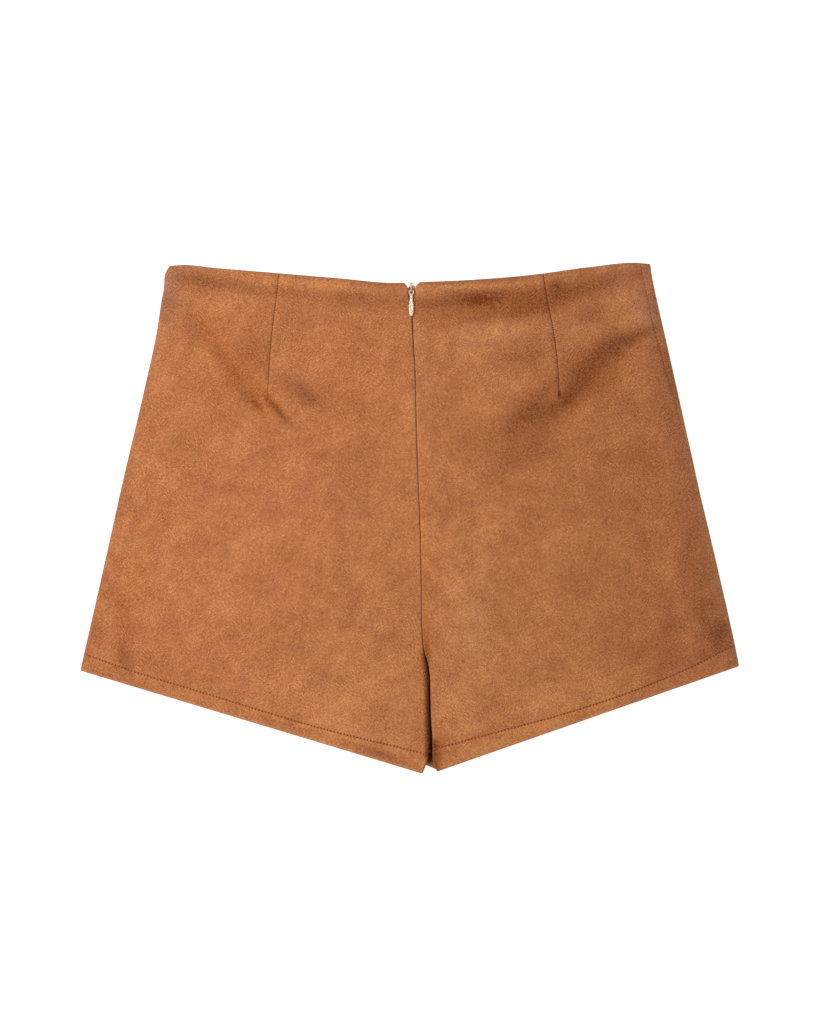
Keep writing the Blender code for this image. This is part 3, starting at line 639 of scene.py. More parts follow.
def nap_group():
    """Strands on two slants, speckle and clouds, with the given tone and its painted light and shade,
    as a colour and a height.
    """
    inputs = {"Vector": "Vector", "Brushed_And_Painted_Light": "Float", "Dark": "Color", "Middle": "Color",
              "Light": "Color", "Strand": "Float", "Cloud": "Float"}
    tree, given, result = group("nap_and_painted_light", inputs, {"Color": "Color", "Height": "Float"})
    vector = given["Vector"]

    def slanted(degrees):
        turned = node(tree, "ShaderNodeVectorRotate",
                      {"Vector": vector, "Axis": (0, 0, 1), "Angle": math.radians(degrees)})[0]
        stretched = node(tree, "ShaderNodeVectorMath", {0: turned, 1: (1 / STRAND_STRETCH, 1, 1)},
                         operation="MULTIPLY")[0]
        return noise(tree, stretched, 1050, 2, 0.6)

    patch = smooth(tree, noise(tree, vector, 45, 2), 0.42, 0.58)
    strands = node(tree, "ShaderNodeMix", {0: patch, 2: slanted(40), 3: slanted(-46)})[0]
    speckle = noise(tree, vector, 1200, 2, 0.6)
    smudge = noise(tree, vector, 120, 3, 0.6)
    cloud = noise(tree, vector, 28, 4, 0.55)
    fine = maths(tree, "MULTIPLY_ADD", maths(tree, "ADD", strands, speckle), 0.5, -0.5)
    fine = maths(tree, "MULTIPLY", fine, given["Strand"])
    slow = maths(tree, "MULTIPLY_ADD", smudge, 0.45, maths(tree, "MULTIPLY", cloud, 0.55))
    slow = maths(tree, "MULTIPLY", maths(tree, "SUBTRACT", slow, 0.5), given["Cloud"])
    uneven = maths(tree, "MULTIPLY_ADD", smudge, 0.9, 0.55)
    # The given tone carries the brushing and the painted light and shade.
    brushed_and_painted = maths(tree, "MULTIPLY", given["Brushed_And_Painted_Light"], uneven)
    tone = maths(tree, "ADD", maths(tree, "ADD", fine, slow), brushed_and_painted)
    colour = given["Middle"]
    # The last step goes to near black, painted shade, where the tone falls below -1.6.
    for factor, start, step_colour in ((1.0, 0.0, given["Light"]), (-1.0, 0.0, given["Dark"]),
                                       (-1.0, -1.6, DEEPEST_PAINTED_SHADE)):
        share = maths(tree, "MULTIPLY_ADD", tone, factor, start, clamp=True)
        colour = blend(tree, share, colour, step_colour)
    tree.links.new(colour, result["Color"])
    height = maths(tree, "MULTIPLY_ADD", strands, 0.6, maths(tree, "MULTIPLY", speckle, 0.4))
    tree.links.new(height, result["Height"])
    return tree


nap_and_painted_light = nap_group()
print("nap:", len(nap_and_painted_light.nodes), "nodes")

# %% [markdown]
# ## Needle holes
#
# The stitching shows mostly as a row of dark holes, where the thread dives into the nap; their
# darkness is painted shade. Holes in the mesh would need a very fine grid. Instead the shell carries
# the length along the sewn line and the distance from it, and they make round holes of any size.

# %% Node group: needle holes
def needle_group():
    """Mask of round holes at even steps: 1 within Radius of each multiple of Pitch along the
    line, where the distance is the root of (offset along)^2 + (offset across)^2. Line is a
    narrow band all along, for the crease that the thread pulls in."""
    inputs = {"Place": "Vector", "Pitch": "Float", "Radius": "Float"}
    tree, given, result = group("needle_holes", inputs, {"Holes": "Float", "Line": "Float"})
    place = parts_of(tree, given["Place"])
    step = maths(tree, "PINGPONG", place["X"], maths(tree, "MULTIPLY", given["Pitch"], 0.5))
    away = maths(tree, "SQRT", maths(tree, "ADD", maths(tree, "POWER", step, 2.0),
                                     maths(tree, "POWER", place["Y"], 2.0)))
    for name, distance, start, end in (("Holes", away, 0.55, 1.15),
                                       ("Line", maths(tree, "ABSOLUTE", place["Y"]), 0.1, 1.0)):
        near = smooth(tree, maths(tree, "DIVIDE", distance, given["Radius"]), start, end)
        shown = maths(tree, "MULTIPLY", maths(tree, "SUBTRACT", 1.0, near), place["Z"])
        tree.links.new(shown, result[name])
    return tree


needle_holes = needle_group()
print("needle holes:", len(needle_holes.nodes), "nodes")

# %% [markdown]
# ## The suede finish
#
# The nap scatters light at its tips, so the cloth is matt with a faint glow where it turns
# away. The Principled shader's *sheen* is made for that. The colour has three steps, dark for
# the roots, middle, and light for the tips, all in linear light.

# %% Suede
SUEDE_DARK = (0.125, 0.029, 0.005)
SUEDE_MIDDLE = (0.396, 0.138, 0.0505)
SUEDE_LIGHT = (0.710, 0.324, 0.118)
# Needle holes and the creases over sewn lines are painted in this shade colour.
HOLE_PAINTED_SHADE = (0.225, 0.043, 0.008)
GREYER = (-0.07, 0.03, 0.28)    # change of red, green and blue where the cloth is greyest
HEM_PITCH = 0.0025
SEAM_PITCH = 0.0018
SEWN_LINES = (("hem_line", HEM_PITCH, 0.00070, 0.10),    # mask, pitch, hole radius, crease
              ("seam_line", SEAM_PITCH, 0.00058, 0.32))


def suede(name, strand, cloud):
    """Suede with its holes and seam creases, read from the shell's uv and masks."""
    made, tree, shader = material(name, SUEDE_MIDDLE, {
        "Roughness": 0.92, "Specular IOR Level": 0.12, "Sheen Weight": 0.15,
        "Sheen Roughness": 0.45, "Sheen Tint": (1.0, 0.72, 0.50, 1)})
    flat = node(tree, "ShaderNodeUVMap", uv_map="cloth")["UV"]
    # The mask holds the tone, with its painted light and shade, and the grey.
    tone_and_grey = parts_of(tree, mask_of(tree, "nap_and_painted_light"))
    fibres = node(tree, "ShaderNodeGroup", node_tree=nap_and_painted_light, inputs={
        "Vector": flat, "Brushed_And_Painted_Light": tone_and_grey["X"], "Strand": strand, "Cloud": cloud,
        "Dark": (*SUEDE_DARK, 1), "Middle": (*SUEDE_MIDDLE, 1), "Light": (*SUEDE_LIGHT, 1)})
    height, colour = fibres["Height"], fibres["Color"]
    shift = node(tree, "ShaderNodeVectorMath", {0: GREYER, "Scale": tone_and_grey["Y"]}, operation="SCALE")[0]
    shift = node(tree, "ShaderNodeVectorMath", {0: shift, 1: (1, 1, 1)}, operation="ADD")[0]
    colour = node(tree, "ShaderNodeVectorMath", {0: colour, 1: shift}, operation="MULTIPLY")[0]
    for mask, pitch, radius, crease in SEWN_LINES:
        sewn = node(tree, "ShaderNodeGroup", node_tree=needle_holes, inputs={
            "Place": mask_of(tree, mask), "Pitch": pitch, "Radius": radius})
        # Painted shade in the holes and creases, and bumps pressing them in.
        depth = maths(tree, "MAXIMUM", sewn["Holes"], maths(tree, "MULTIPLY", sewn["Line"], crease))
        colour = blend(tree, depth, colour, HOLE_PAINTED_SHADE)
        height = maths(tree, "MULTIPLY_ADD", depth, -2.0, height)
    finish(tree, shader, colour, height, strength=0.55, distance=0.0003)
    return made


suede_face = suede("suede_face", strand=3.8, cloud=1.5)
print("suede:", len(suede_face.node_tree.nodes), "nodes")

# %% [markdown]
# ## The knit behind the nap
#
# Turn faux suede over and it is a fine smooth knit. It shows in the waist opening and between the
# legs. The zip tape is woven, and both come down to small crossed waves, so they share one group
# with their own counts of threads.

# %% Node group: crossed threads, and the two finishes that use it
def threads_group():
    """Height of crossed threads: |sin(pi u n)| |sin(pi v m)|, with n and m threads a metre."""
    inputs = {"Vector": "Vector", "Across": "Float", "Along": "Float"}
    tree, given, result = group("crossed_threads", inputs, {"Height": "Float"})
    place = parts_of(tree, given["Vector"])
    waves = []
    for axis, count in (("X", "Across"), ("Y", "Along")):
        turns = maths(tree, "MULTIPLY", maths(tree, "MULTIPLY", place[axis], given[count]), math.pi)
        waves.append(maths(tree, "ABSOLUTE", maths(tree, "SINE", turns)))
    tree.links.new(maths(tree, "MULTIPLY", *waves), result["Height"])
    return tree


crossed_threads = threads_group()


def woven(name, dark, light, across, along, roughness, gloss):
    """Cloth of crossed threads, dark between them and light on their crowns."""
    made, tree, shader = material(name, light, {"Roughness": roughness, "Specular IOR Level": gloss})
    flat = node(tree, "ShaderNodeUVMap", uv_map="cloth")["UV"]
    height = node(tree, "ShaderNodeGroup", node_tree=crossed_threads, inputs={
        "Vector": flat, "Across": across, "Along": along})["Height"]
    tone = maths(tree, "MULTIPLY_ADD", noise(tree, flat, 60, 3), 0.5,
                 maths(tree, "MULTIPLY", height, 0.6), clamp=True)
    finish(tree, shader, blend(tree, tone, dark, light), height, strength=0.6, distance=0.0001)
    return made


knit_back = woven("knit_back", (0.036, 0.011, 0.004), (0.095, 0.032, 0.012), 900, 1300, 0.9, 0.0)
tape_weave = woven("tape_weave", (0.110, 0.080, 0.064), (0.380, 0.290, 0.235), 1500, 1500, 0.7, 0.25)
print("knit and tape share", crossed_threads.name)

# %% [markdown]
# ## Which way the nap lies
#
# Suede shows every stroke of a hand: where the fibres lean towards the light it is pale, and
# where they lean away it is dark. These soft patches are listed one by one, and many of them are
# painted shade and light of the folds; a positive tone is lighter. A second list says where the cloth
# looks greyer.

# %% Brushed patches, and painted shade and light
BLOTS = table("x y long short heading tone", (
    (50, 160.8, 40, 6.4, 5, -0.66), (52, 160.6, 12, 5.5, 6, -0.34), (98, 164, 20, 7, 8, -0.16),
    (121, 168, 30, 7.2, 12, -0.54), (106, 171.2, 7, 4, 10, -0.42), (64, 150, 40, 6.8, 6, -0.4),
    (100, 155.5, 18, 7, 8, -0.26), (131, 149, 15, 7, 10, -0.38), (155, 177.5, 20, 4, 5, -0.18),
    (145, 170, 16, 5, 10, -0.1), (50, 170, 45, 2.6, 3, 0.34), (90, 177.2, 45, 1.4, 5, -0.16),
    (125, 179.8, 35, 1.8, 7, 0.14), (30, 172.7, 30, 1.5, 2, -0.2), (-64, 170.2, 62, 3.2, -5, 0.22),
    (-64, 175.5, 62, 1.4, -5, -0.12), (-60, 162.6, 60, 6, -5, -0.32), (-66, 148, 30, 10, -5, -0.14),
    (159, 160, 18, 9, 10, 0.2), (166, 145, 13, 6.5, 30, 0.26), (56, 136.5, 40, 6.5, 5, 0.26),
    (81.2, 118, 18, 4, 8, -0.2), (58.8, 112, 13, 8, 8, -0.14), (169, 135, 12, 4.2, 20, -0.46),
    (151, 127, 18, 8, 32, -0.4), (133.5, 114, 18, 9.5, 42, -0.4), (132.7, 123.5, 15, 6, 35, -0.2),
    (114.3, 112.1, 10, 8, 40, -0.12), (124, 108, 11, 6, 45, -0.24), (176, 124, 10, 6, 0, -0.16),
    (118, 161, 14, 4.5, 5, -0.18), (115, 86.5, 17, 6.8, 46, -0.64), (109.7, 90.8, 1.6, 0.8, 88, -2.6),
    (101, 95.8, 12, 5.2, 40, -0.36), (87, 76, 18, 8, 36, -0.28), (74, 64, 20, 11, 42, -0.4),
    (90, 50, 13, 8, 50, -0.42), (74, 42, 13, 8, 60, -0.22), (142, 98, 20, 13, 42, -0.24),
    (145, 30, 50, 50, 0, -0.14), (126, 109, 36, 24, 42, -0.08), (70, 96, 20, 7, 10, 0.12),
    (190, 112, 22, 6, -75, -0.3), (195, 60, 34, 9, -77, -0.18), (208, -20, 34, 10, -75, -0.26),
    (200, -40, 16, 8, 80, -0.26), (215.7, -77, 10, 6.5, -75, -0.36), (210, -61, 12, 8, -75, -0.24),
    (228, -84, 11, 7.5, 70, -0.5), (201, -105, 14, 8, 60, -0.2), (188, -103.5, 13, 6.2, 55, -0.28),
    (185, -86, 24, 8, 40, -0.36), (218, -100, 12, 7, 30, -0.24), (193, -50, 12, 5, 80, 0.15),
    (37, -61, 30, 12, 95, 0.3), (80, -161, 58, 5, 19, 0.22), (40, -130, 30, 14, 70, 0.16),
    (120, -145, 20, 5, 20, -0.14), (-152, 174, 18, 5.5, -8, -0.42), (-168, 176.5, 8, 5, -8, -0.22),
    (-121, 169, 20, 4.5, -8, -0.2), (-176, 164, 17, 7, 80, -0.18), (-181, 125, 36, 6.5, 77, 0.06),
    (-135, 158.5, 14, 6, 0, 0.08), (-158, 145, 14, 8.5, -55, -0.22), (-140, 122, 18, 6.5, -58, -0.26),
    (-126.5, 102.5, 16, 7.5, -58, -0.3), (-142, 80, 16, 8, -50, -0.16), (-117, 123, 22, 17, -60, -0.2),
    (-112.8, 84.2, 9, 2.3, -60, -0.55), (-96.7, 79.7, 14, 2.7, -48, -0.7), (-89, 97, 14, 8, -40, -0.22),
    (-74.6, 88.6, 10, 7, -45, -0.48), (-99, 117, 10, 16, 0, 0.2), (-35, 27, 20, 8, 0, -0.14),
    (-210.5, -99, 16, 5.8, -75, -0.44), (-206, -80, 18, 6, -72, -0.2), (-223, -92, 12, 3.5, -69, 0.1),
    (-191, -105, 16, 6, -10, -0.22), (-108, -131, 12, 6, -17, -0.16), (-56, -152, 50, 6, -17, 0.22),
    (-20, -115, 26, 30, 0, 0.16), (-75, -132, 30, 14, -17, 0.16), (-19, -173.5, 18, 2.8, -19, -0.42),
    (-62.1, -156.6, 55, 1.6, -17, 0.18), (-62.1, -165.5, 60, 1.5, -17, 0.2),
    (-150, -55, 22, 14, 0, 0.1), (-50, -15, 30, 13, 0, 0.12), (-135, 0, 14, 12, 0, 0.12),
    (7, 13, 12, 60, 0, 0.08), (-2, 105, 6, 65, 0, 0.1), (21.5, -172, 10, 4.5, 85, -0.2),
    (19, -183, 8, 3, 70, -0.16), (12.2, -96.5, 13, 1.7, 97, -0.66), (19, -166, 6, 3, 85, -0.2),
    (11.2, -180.5, 6, 2.2, 70, 0.2), (218.7, -62.5, 8, 5.5, 0, -0.25), (191.5, -104.7, 9, 5, 60, -0.2),
    (-227.5, -82.7, 9, 5, -72, -0.22), (99.6, 164.3, 6, 5, 0, 0.2), (79.4, 68, 5, 4, 0, 0.2),
    (158, 172, 13, 5, 5, 0.14), (103.3, -123, 8, 7, 0, 0.14), (-109, -38.6, 18, 9, 0, 0.09),
    (-218, -103, 11, 5, -17, 0.12), (-70, -160, 70, 3.5, -17, 0.08), (162, -56, 45, 20, 0, -0.12),
    (175, 157, 10, 8, 0, -0.2), (81, 173.5, 16, 5, 5, -0.16), (75, -130, 60, 20, -8, 0.1),
    (-8, -165, 14, 8, -17, 0.14), (2, -85, 10, 18, 0, 0.12), (37, 121.6, 16, 10, 0, 0.14),
    (-78, -98, 20, 16, -20, 0.13), (143, 87, 10, 10, 0, 0.12), (90, 78, 14, 12, 40, -0.15),
    (178, 95, 25, 9, -77, -0.13), (-175, -90, 25, 10, -10, -0.11), (-178, -10, 30, 14, 20, -0.1),
    (-145, 98, 14, 12, 0, -0.12), (36, -178, 12, 6, 19, 0.14), (-14, -177, 12, 5, -17, 0.1),
    (-174, 174, 8, 6, 0, 0.16), (195, 15, 20, 12, -77, -0.1), (178, 35, 11, 10, 0, -0.1),
    (34, -107, 12, 10, 0, 0.1), (115, -140, 20, 12, 20, 0.12), (85, -159, 50, 6, 19, 0.12),
    (8, -75, 14, 6, 95, -0.12),
), plain="heading tone")
HUES = table("x y long short heading grey", (
    (-179, 168, 24, 12, 77, 1.3), (-162, 182, 20, 6, -5, 0.5), (-70, 177, 60, 2.2, -5, 0.6),
    (70, 176.5, 60, 2.2, 5, 0.6), (155, 172, 16, 12, 10, 0.45), (175, 150, 10, 16, 0, 0.7),
    (90, 134, 60, 9, 5, 0.25), (50, -70, 14, 26, 0, 0.45), (-95, 124, 40, 12, 80, 0.1),
    (-130, 115, 50, 14, -52, -0.6), (-105, 83, 16, 8, -52, -0.45), (70, 156, 40, 8, 6, -0.6),
    (132, 100, 30, 14, 45, -0.55), (-45, 100, 40, 20, -30, -0.15), (-206, -40, 30, 16, 75, -0.25),
    (80, -156, 90, 4, 19, -0.35), (-110, -143, 110, 4, -17, -0.3), (11, -40, 60, 5, 92, -0.35),
    (12, -96.5, 13, 2.4, 97, -1.2), (20, -169, 12, 5, 80, -0.8),
), plain="heading grey")
# Painted light and shade along the rolled sides, each row side, reach, tone and grey: darker and greyer
# just in from the left edge, a painted highlight at the right edge and painted shade further in.
SIDE_PAINTED_LIGHT_AND_SHADE = (("left", 0.0022, -0.28, 0.6), ("left", 0.0120, -0.06, 0.1),
              ("right", 0.0130, -0.14, 0.7), ("right", 0.0019, 0.62, 0.3))
HEM_EDGE_PAINTED_LIGHT = 0.22           # painted highlight along the hem's edge, where the nap stands out
EDGE_REACH = 0.0012
LEG_ROLL_PAINTED_SHADE = -0.95           # painted shade round the inside of a leg, where the roll turns away from the light


def nap_and_painted_tone(x, y):
    """How light and how grey the cloth is: brushed patches, many of them painted shade and light of
    the folds, and bell shapes of painted light and shade along the two sides, each with its side,
    reach, tone and grey."""
    tone, grey = patches(BLOTS, x, y), patches(HUES, x, y)
    for name, reach, lighter, greyer in SIDE_PAINTED_LIGHT_AND_SHADE:
        near = bell((x - side(name, y)) / reach)
        tone, grey = tone + lighter * near, grey + greyer * near
    return tone, grey


print(len(BLOTS["x"]), "brushed places")

# %% [markdown]
# ## The two back panels
#
# Each is cut in one piece, shaped at the waist by a dart, a wedge of cloth folded under and sewn.
# So it is five strips: the roll at the side, the cloth out to the dart, the dart's groove, the
# cloth on to the centre, and the roll there. The groove's columns are close together, because its
# crease is less than a millimetre wide.

# %% Hems, rims and seams
RIM_ROUND = 0.42            # how far a free edge rounds out, as a share of its thickness
SEAM_ROUND = 0.0001
CORNER_COLUMNS = 7          # over how many columns the roundness fades out into a corner
SEAM_TUCK = 0.00025         # how far a sewn edge is pulled in, and over which distance
SEAM_TUCK_REACH = 0.0009
SIDE_REACH = 0.009
SIDE_SEEN = 0.006           # how far from the side seam its stitches are drawn
SIDE_SHOWS = {"left": 0.0, "right": 0.36}       # how plainly each sewn line shows
DART_SHOWS = {"left": 0.75, "right": 1.0}
HEM_SHOWS = {"left": 0.95, "right": 1.0}


def layers(x, y, edge, depth):
    """Thickness of the cloth, and where its hem is turned up, so that it is thicker."""
    above, hem_top = y - edge(x), HEM_TOP * depth(x)
    return mix(CLOTH, HEM_CLOTH, ease(above, hem_top + 0.003, hem_top)), above < hem_top


def tuck(grid, facing, from_seam):
    """Pull a sewn edge in along its normal, by a bell shape over the distance from the seam."""
    depth = SEAM_TUCK * bell(from_seam / SEAM_TUCK_REACH)
    depth *= mix(0.3, 1.0, ease(grid[..., 1], 0.170, 0.148))
    return grid - facing * normals(grid) * depth[..., None]


def edge_bulge(thickness, free_columns=()):
    """Roundness of a shell's rim: full at the waist and hem rows, slight at sewn columns."""
    bulge = np.full_like(thickness, SEAM_ROUND)
    column = np.arange(thickness.shape[1])
    from_corner = np.clip(np.minimum(column, column[::-1]) / CORNER_COLUMNS, 0, 1)
    bulge[[0, -1], :] += (RIM_ROUND * thickness[[0, -1], :] - SEAM_ROUND) * from_corner
    for column in free_columns:
        bulge[:, column] = RIM_ROUND * thickness[:, column]
    bulge[np.ix_([0, -1], [0, -1])] = SEAM_ROUND
    return bulge


def side_line(name, y):
    """How plainly the side seam shows: it fades out up at the waist and down the side."""
    return SIDE_SHOWS[name] * ease(y, 0.055, 0.085) * ease(y, 0.168, 0.146)


def flat_start(name, y):
    """Where a side's roll is over, and the flat cloth begins."""
    return side(name, y) + INWARD[name] * (side_radius(name, y) + SIDE_REACH)


def panel(name, node_name, grid, facing, cloth, uv, masks, free_columns=()):
    """Suede panel of the garment, from its grid and its layers of cloth."""
    thickness, hemmed = cloth
    masks = {mask: stack(*parts) for mask, parts in masks.items()}
    made = shell(name, grid, thickness, facing, edge_bulge(thickness, free_columns),
                 [suede_face, knit_back], hemmed, uv, masks)
    return wear(made, "garment", node_name)


print("a free edge stands out by", RIM_ROUND, "of its thickness")

# %% Back panels
GROOVE = np.array((-2.2, -1.5, -1.0, -0.6, -0.4, -0.2, 0, 0.2, 0.4, 0.6, 1.0, 1.5, 2.2)) / 1000
IN_LEG = (0.0025, 0.0060)   # from the leg's edge, over which the hem thickens


def back_grid(name):
    """Outer face of a back panel, from left to right."""
    def roll(u, y):
        start = side_seam(name, y) + SEAM_GAP / 2
        end = side_radius(name, y) * math.pi / 2 + SIDE_REACH
        return side_roll(name, mix(start, end, u ** 1.3), y)

    def groove(u, y):
        x = dart(name, y) + INWARD[name] * u
        return x, back_top(x, y)

    def between(start, end):
        def place(u, y):
            x = mix(start(y), end(y), u)
            return x, back_top(x, y)
        return place

    to_dart = between(lambda y: flat_start(name, y), lambda y: groove(-DART_HALF, y)[0])
    to_centre = between(lambda y: groove(DART_HALF, y)[0], lambda y: centre_roll(name, 0, y)[0])
    cut = ((roll, np.linspace(0, 1, 22)), (to_dart, np.linspace(0, 1, 60)), (groove, GROOVE),
           (to_centre, np.linspace(0, 1, 56)),
           (lambda u, y: centre_roll(name, u, y), np.linspace(0, 1, 12)))
    grid = cloth_grid(cut, back_places, waist, lambda x: leg_hem(name, x), leg_depth)
    return grid[:, ::INWARD[name]]


def back_masks(name, x, y, from_side):
    """What the suede reads: tone and grey of the nap, the tone with painted shade round the leg and a
    painted highlight at the hem's edge; length, distance and plainness of the hem's stitching; and
    the same of the seam that is nearest, the side's or the dart's."""
    at_side = from_side < SIDE_SEEN
    dart_away = np.minimum(np.abs(x - dart(name, y)), 0.02)
    dart_on = ease(y, DART_TIP - 0.0015, DART_TIP + 0.001) * DART_SHOWS[name]
    x0, y0, x1, y1 = HEMS[name]
    above = y - leg_hem(name, x)
    hem_off = (above - leg_depth(x)) * (x1 - x0) / math.hypot(x1 - x0, y1 - y0)
    fade = {"left": ease(y, -0.1775, -0.1735), "right": 0.1 + 0.6 * ease(y, -0.158, -0.166)}
    at_leg = ease(y, *CROTCH) * ease(np.abs(x - centre(name, y)), 0.0048, 0.0012) * fade[name]
    tone, grey = nap_and_painted_tone(x, y)
    # Painted shade round the inside of the leg, and a painted highlight along the hem's edge.
    tone = tone + LEG_ROLL_PAINTED_SHADE * at_leg + HEM_EDGE_PAINTED_LIGHT * bell(above / EDGE_REACH)
    return {"nap_and_painted_light": (tone, grey, 0),
            "hem_line": (from_side, hem_off, HEM_SHOWS[name]),
            "seam_line": (y - DART_TIP, np.where(at_side, from_side, dart_away),
                          np.where(at_side, side_line(name, y), dart_on))}


def back_panel(name):
    grid = back_grid(name)
    x, y = grid[..., 0], grid[..., 1]
    from_first = lengths(grid)
    from_side = from_first if name == "left" else from_first[:, -1:] - from_first
    uv, masks = stack(from_first, y), back_masks(name, x, y, from_side)
    grid = tuck(grid, -1, from_side)
    x, y = grid[..., 0], grid[..., 1]
    thickness, hemmed = layers(x, y, lambda at: leg_hem(name, at), leg_depth)
    thickness = mix(CLOTH, thickness, ease(np.abs(x - centre(name, y)), *IN_LEG))
    return panel("back_panel_" + name, "back_" + name, grid, -1, (thickness, hemmed), uv, masks), grid


backs = {name: back_panel(name) for name in INWARD}
print("a back panel's grid is", backs["left"][1].shape[:2])

# %% [markdown]
# ## The layers below
#
# The skirt panel hides the shorts from the front, so here it lies lowest. Its sides turn up to meet
# the back, and on the right it has rolled over far enough for the side seam to show. The shorts
# fronts are plain layers between. Little of them shows, but the waist opening and the slit between
# the legs would look wrong without them.

# %% Skirt panel
LOW_WAIST_ROWS = (0.0, 0.0012, 0.003, 0.006, 0.011, 0.018)
LOW_ROWS = 90
SKIRT_COLUMNS = 66
GROOVE_HALF = 0.0009
SLIT_SHADE = 3.0            # painted shade: how much darker the skirt is painted in the slit between the legs, and a little lighter near its hem
low_places, low_stitch_row = stations(LOW_WAIST_ROWS, LOW_ROWS)


def skirt_grid():
    """Outer face of the skirt panel: left roll, flat, flat, right roll."""
    def roll(name, u, y):
        start = -side_radius(name, y) * math.pi / 2 - SIDE_REACH
        end = side_seam(name, y) - SEAM_GAP / 2
        return side_roll(name, mix(start, end, u), y)

    def flat(name, u, y):
        x = mix(flat_start(name, y), SKIRT_POINT, u)
        groove = np.clip(1 - np.abs(y - skirt_hem(x) - SKIRT_HEM_DEPTH) / GROOVE_HALF, 0, 1)
        return x, STITCH_GROOVE * groove

    across = np.linspace(0, 1, SKIRT_COLUMNS)
    cut = ((lambda u, y: roll("left", u, y), np.linspace(0, 1, 20)[::-1]),
           (lambda u, y: flat("left", u, y), across),
           (lambda u, y: flat("right", u, y), across[::-1]),
           (lambda u, y: roll("right", u, y), np.linspace(0, 1, 34)))
    return cloth_grid(cut, low_places, front_waist, skirt_hem, skirt_depth)


def skirt_panel():
    grid = skirt_grid()
    x, y = grid[..., 0], grid[..., 1]
    from_left = lengths(grid)
    from_right = from_left[:, -1:] - from_left
    grid = tuck(grid, 1, np.minimum(from_left, from_right))
    # Painted shade in the slit between the legs, and painted light over its lowest few millimetres
    # above the hem.
    in_slit = bell((x - SKIRT_POINT + 0.006) / 0.008) * (y < -0.15)
    shade = SLIT_SHADE * LEG_ROLL_PAINTED_SHADE * in_slit * (ease(y, -0.1808, -0.1768) - 0.12)
    tone, grey = (np.where(grid[..., 2] > 0.002, above, 0) for above in nap_and_painted_tone(x, y))
    masks = {"nap_and_painted_light": (tone + shade, grey, 0),
             "hem_line": (from_left, y - skirt_hem(x) - SKIRT_HEM_DEPTH, 1),
             "seam_line": (y - DART_TIP, from_right,
                           side_line("right", y) * (from_right < SIDE_SEEN))}
    cloth = layers(x, y, skirt_hem, skirt_depth)
    return panel("skirt_front", "skirt_panel", grid, 1, cloth, stack(from_left, y), masks), grid


skirt, skirt_points = skirt_panel()
print("the skirt's stitching is row", low_stitch_row)

# %% Shorts fronts
FRONT_INSET = 0.0034
FRONT_BELOW_SKIRT = 0.0008
FRONT_ABOVE_BACK = 0.0006
FRONT_COLUMNS = 70


def shorts_front(name):
    """Flat layer between the back and the skirt panel, with its own hem."""
    def place(u, y):
        outside = side(name, y) + INWARD[name] * FRONT_INSET
        inside = np.interp(y, FRONT_CENTRE["y"][::-1], FRONT_CENTRE[name][::-1])
        x = mix(outside, inside, u)
        return x, level(FRONT_LEVELS, x, y)

    def top(x):
        return front_waist(x, WAIST_HALF) - FRONT_BELOW_SKIRT

    def edge(x):
        return leg_hem(name, x) + FRONT_ABOVE_BACK

    cut = ((place, np.linspace(0, 1, FRONT_COLUMNS)[::INWARD[name]]),)
    grid = cloth_grid(cut, low_places, top, edge, leg_depth)
    x, y = grid[..., 0], grid[..., 1]
    across = lengths(grid)
    masks = {"nap_and_painted_light": (0 * x, 0, 0),
             "hem_line": (across, y - edge(x) - leg_depth(x), 1),
             "seam_line": (0 * x, 1, 0)}
    return panel("shorts_front_" + name, "front_" + name, grid, 1, layers(x, y, edge, leg_depth),
                 stack(across, y), masks, free_columns=(0, -1))


fronts = {name: shorts_front(name) for name in INWARD}
print("the fronts lie", FRONT_INSET, "m in from the sides")

# %% [markdown]
# ## Thread
#
# A sewing machine leaves short straight stitches, each diving through the cloth at both ends.
# Hundreds of bevelled curves would be slow. So one function makes closed tubes along many paths at
# once: a circle of points round each path point, and a single point at each end.

# %% Tubes
def tube_faces(count, rings, sides):
    """Faces of closed tubes, whose points are numbered ring by ring, then first and last tips."""
    number = np.arange(count * rings * sides).reshape(count, rings, sides)
    wrapped = np.concatenate([number, number[:, :, :1]], axis=2)
    tips = number.size + np.arange(2 * count).reshape(2, count, 1)
    ends = [(wrapped[:, 0, 1:], wrapped[:, 0, :-1], tips[0]),
            (wrapped[:, -1, :-1], wrapped[:, -1, 1:], tips[1])]
    first, last = (stack(*corners).reshape(-1, 3) for corners in ends)
    return list(quads(wrapped)[:, ::-1]) + list(first) + list(last)


def tubes(paths, radius, up, sides):
    """Closed tubes round paths of shape (tubes, rings, 3). A ring's point at the angle a is
    path + radius (cos a * up + sin a * across), where across = along x up."""
    along = np.gradient(paths, axis=1)
    across = unit(np.cross(along, up))
    up = unit(np.cross(across, along))
    angle = np.linspace(0, 2 * math.pi, sides, endpoint=False)[:, None]
    radius = np.broadcast_to(radius, paths.shape[:2])[..., None, None]
    ring = paths[:, :, None] + radius * (np.cos(angle) * up[:, :, None]
                                         + np.sin(angle) * across[:, :, None])
    points = np.concatenate([ring.reshape(-1, 3), paths[:, 0], paths[:, -1]])
    return points, tube_faces(*paths.shape[:2], sides)


print("a tube of 2 rings with 6 sides has", len(tube_faces(1, 2, 6)), "faces")

# %% Stitches
THREAD_RADIUS = 0.00016
THREAD_LIFT = 0.00010
STITCH_RINGS = 7


def mottled(name, colour, dark, light, settings, kind, inputs, **how):
    """Finish that goes from dark to light by a texture, as thread and nylon do in their twist."""
    made, tree, shader = material(name, colour, settings)
    place = node(tree, "ShaderNodeTexCoord")["Object"]
    share = node(tree, kind, {"Vector": place, **inputs}, **how)["Fac"]
    tree.links.new(blend(tree, share, dark, light), shader["Base Color"])
    return made


def resample(line, along, at):
    """Points of a polyline at given lengths along it."""
    return stack(*(np.interp(at, along, column) for column in line.T))


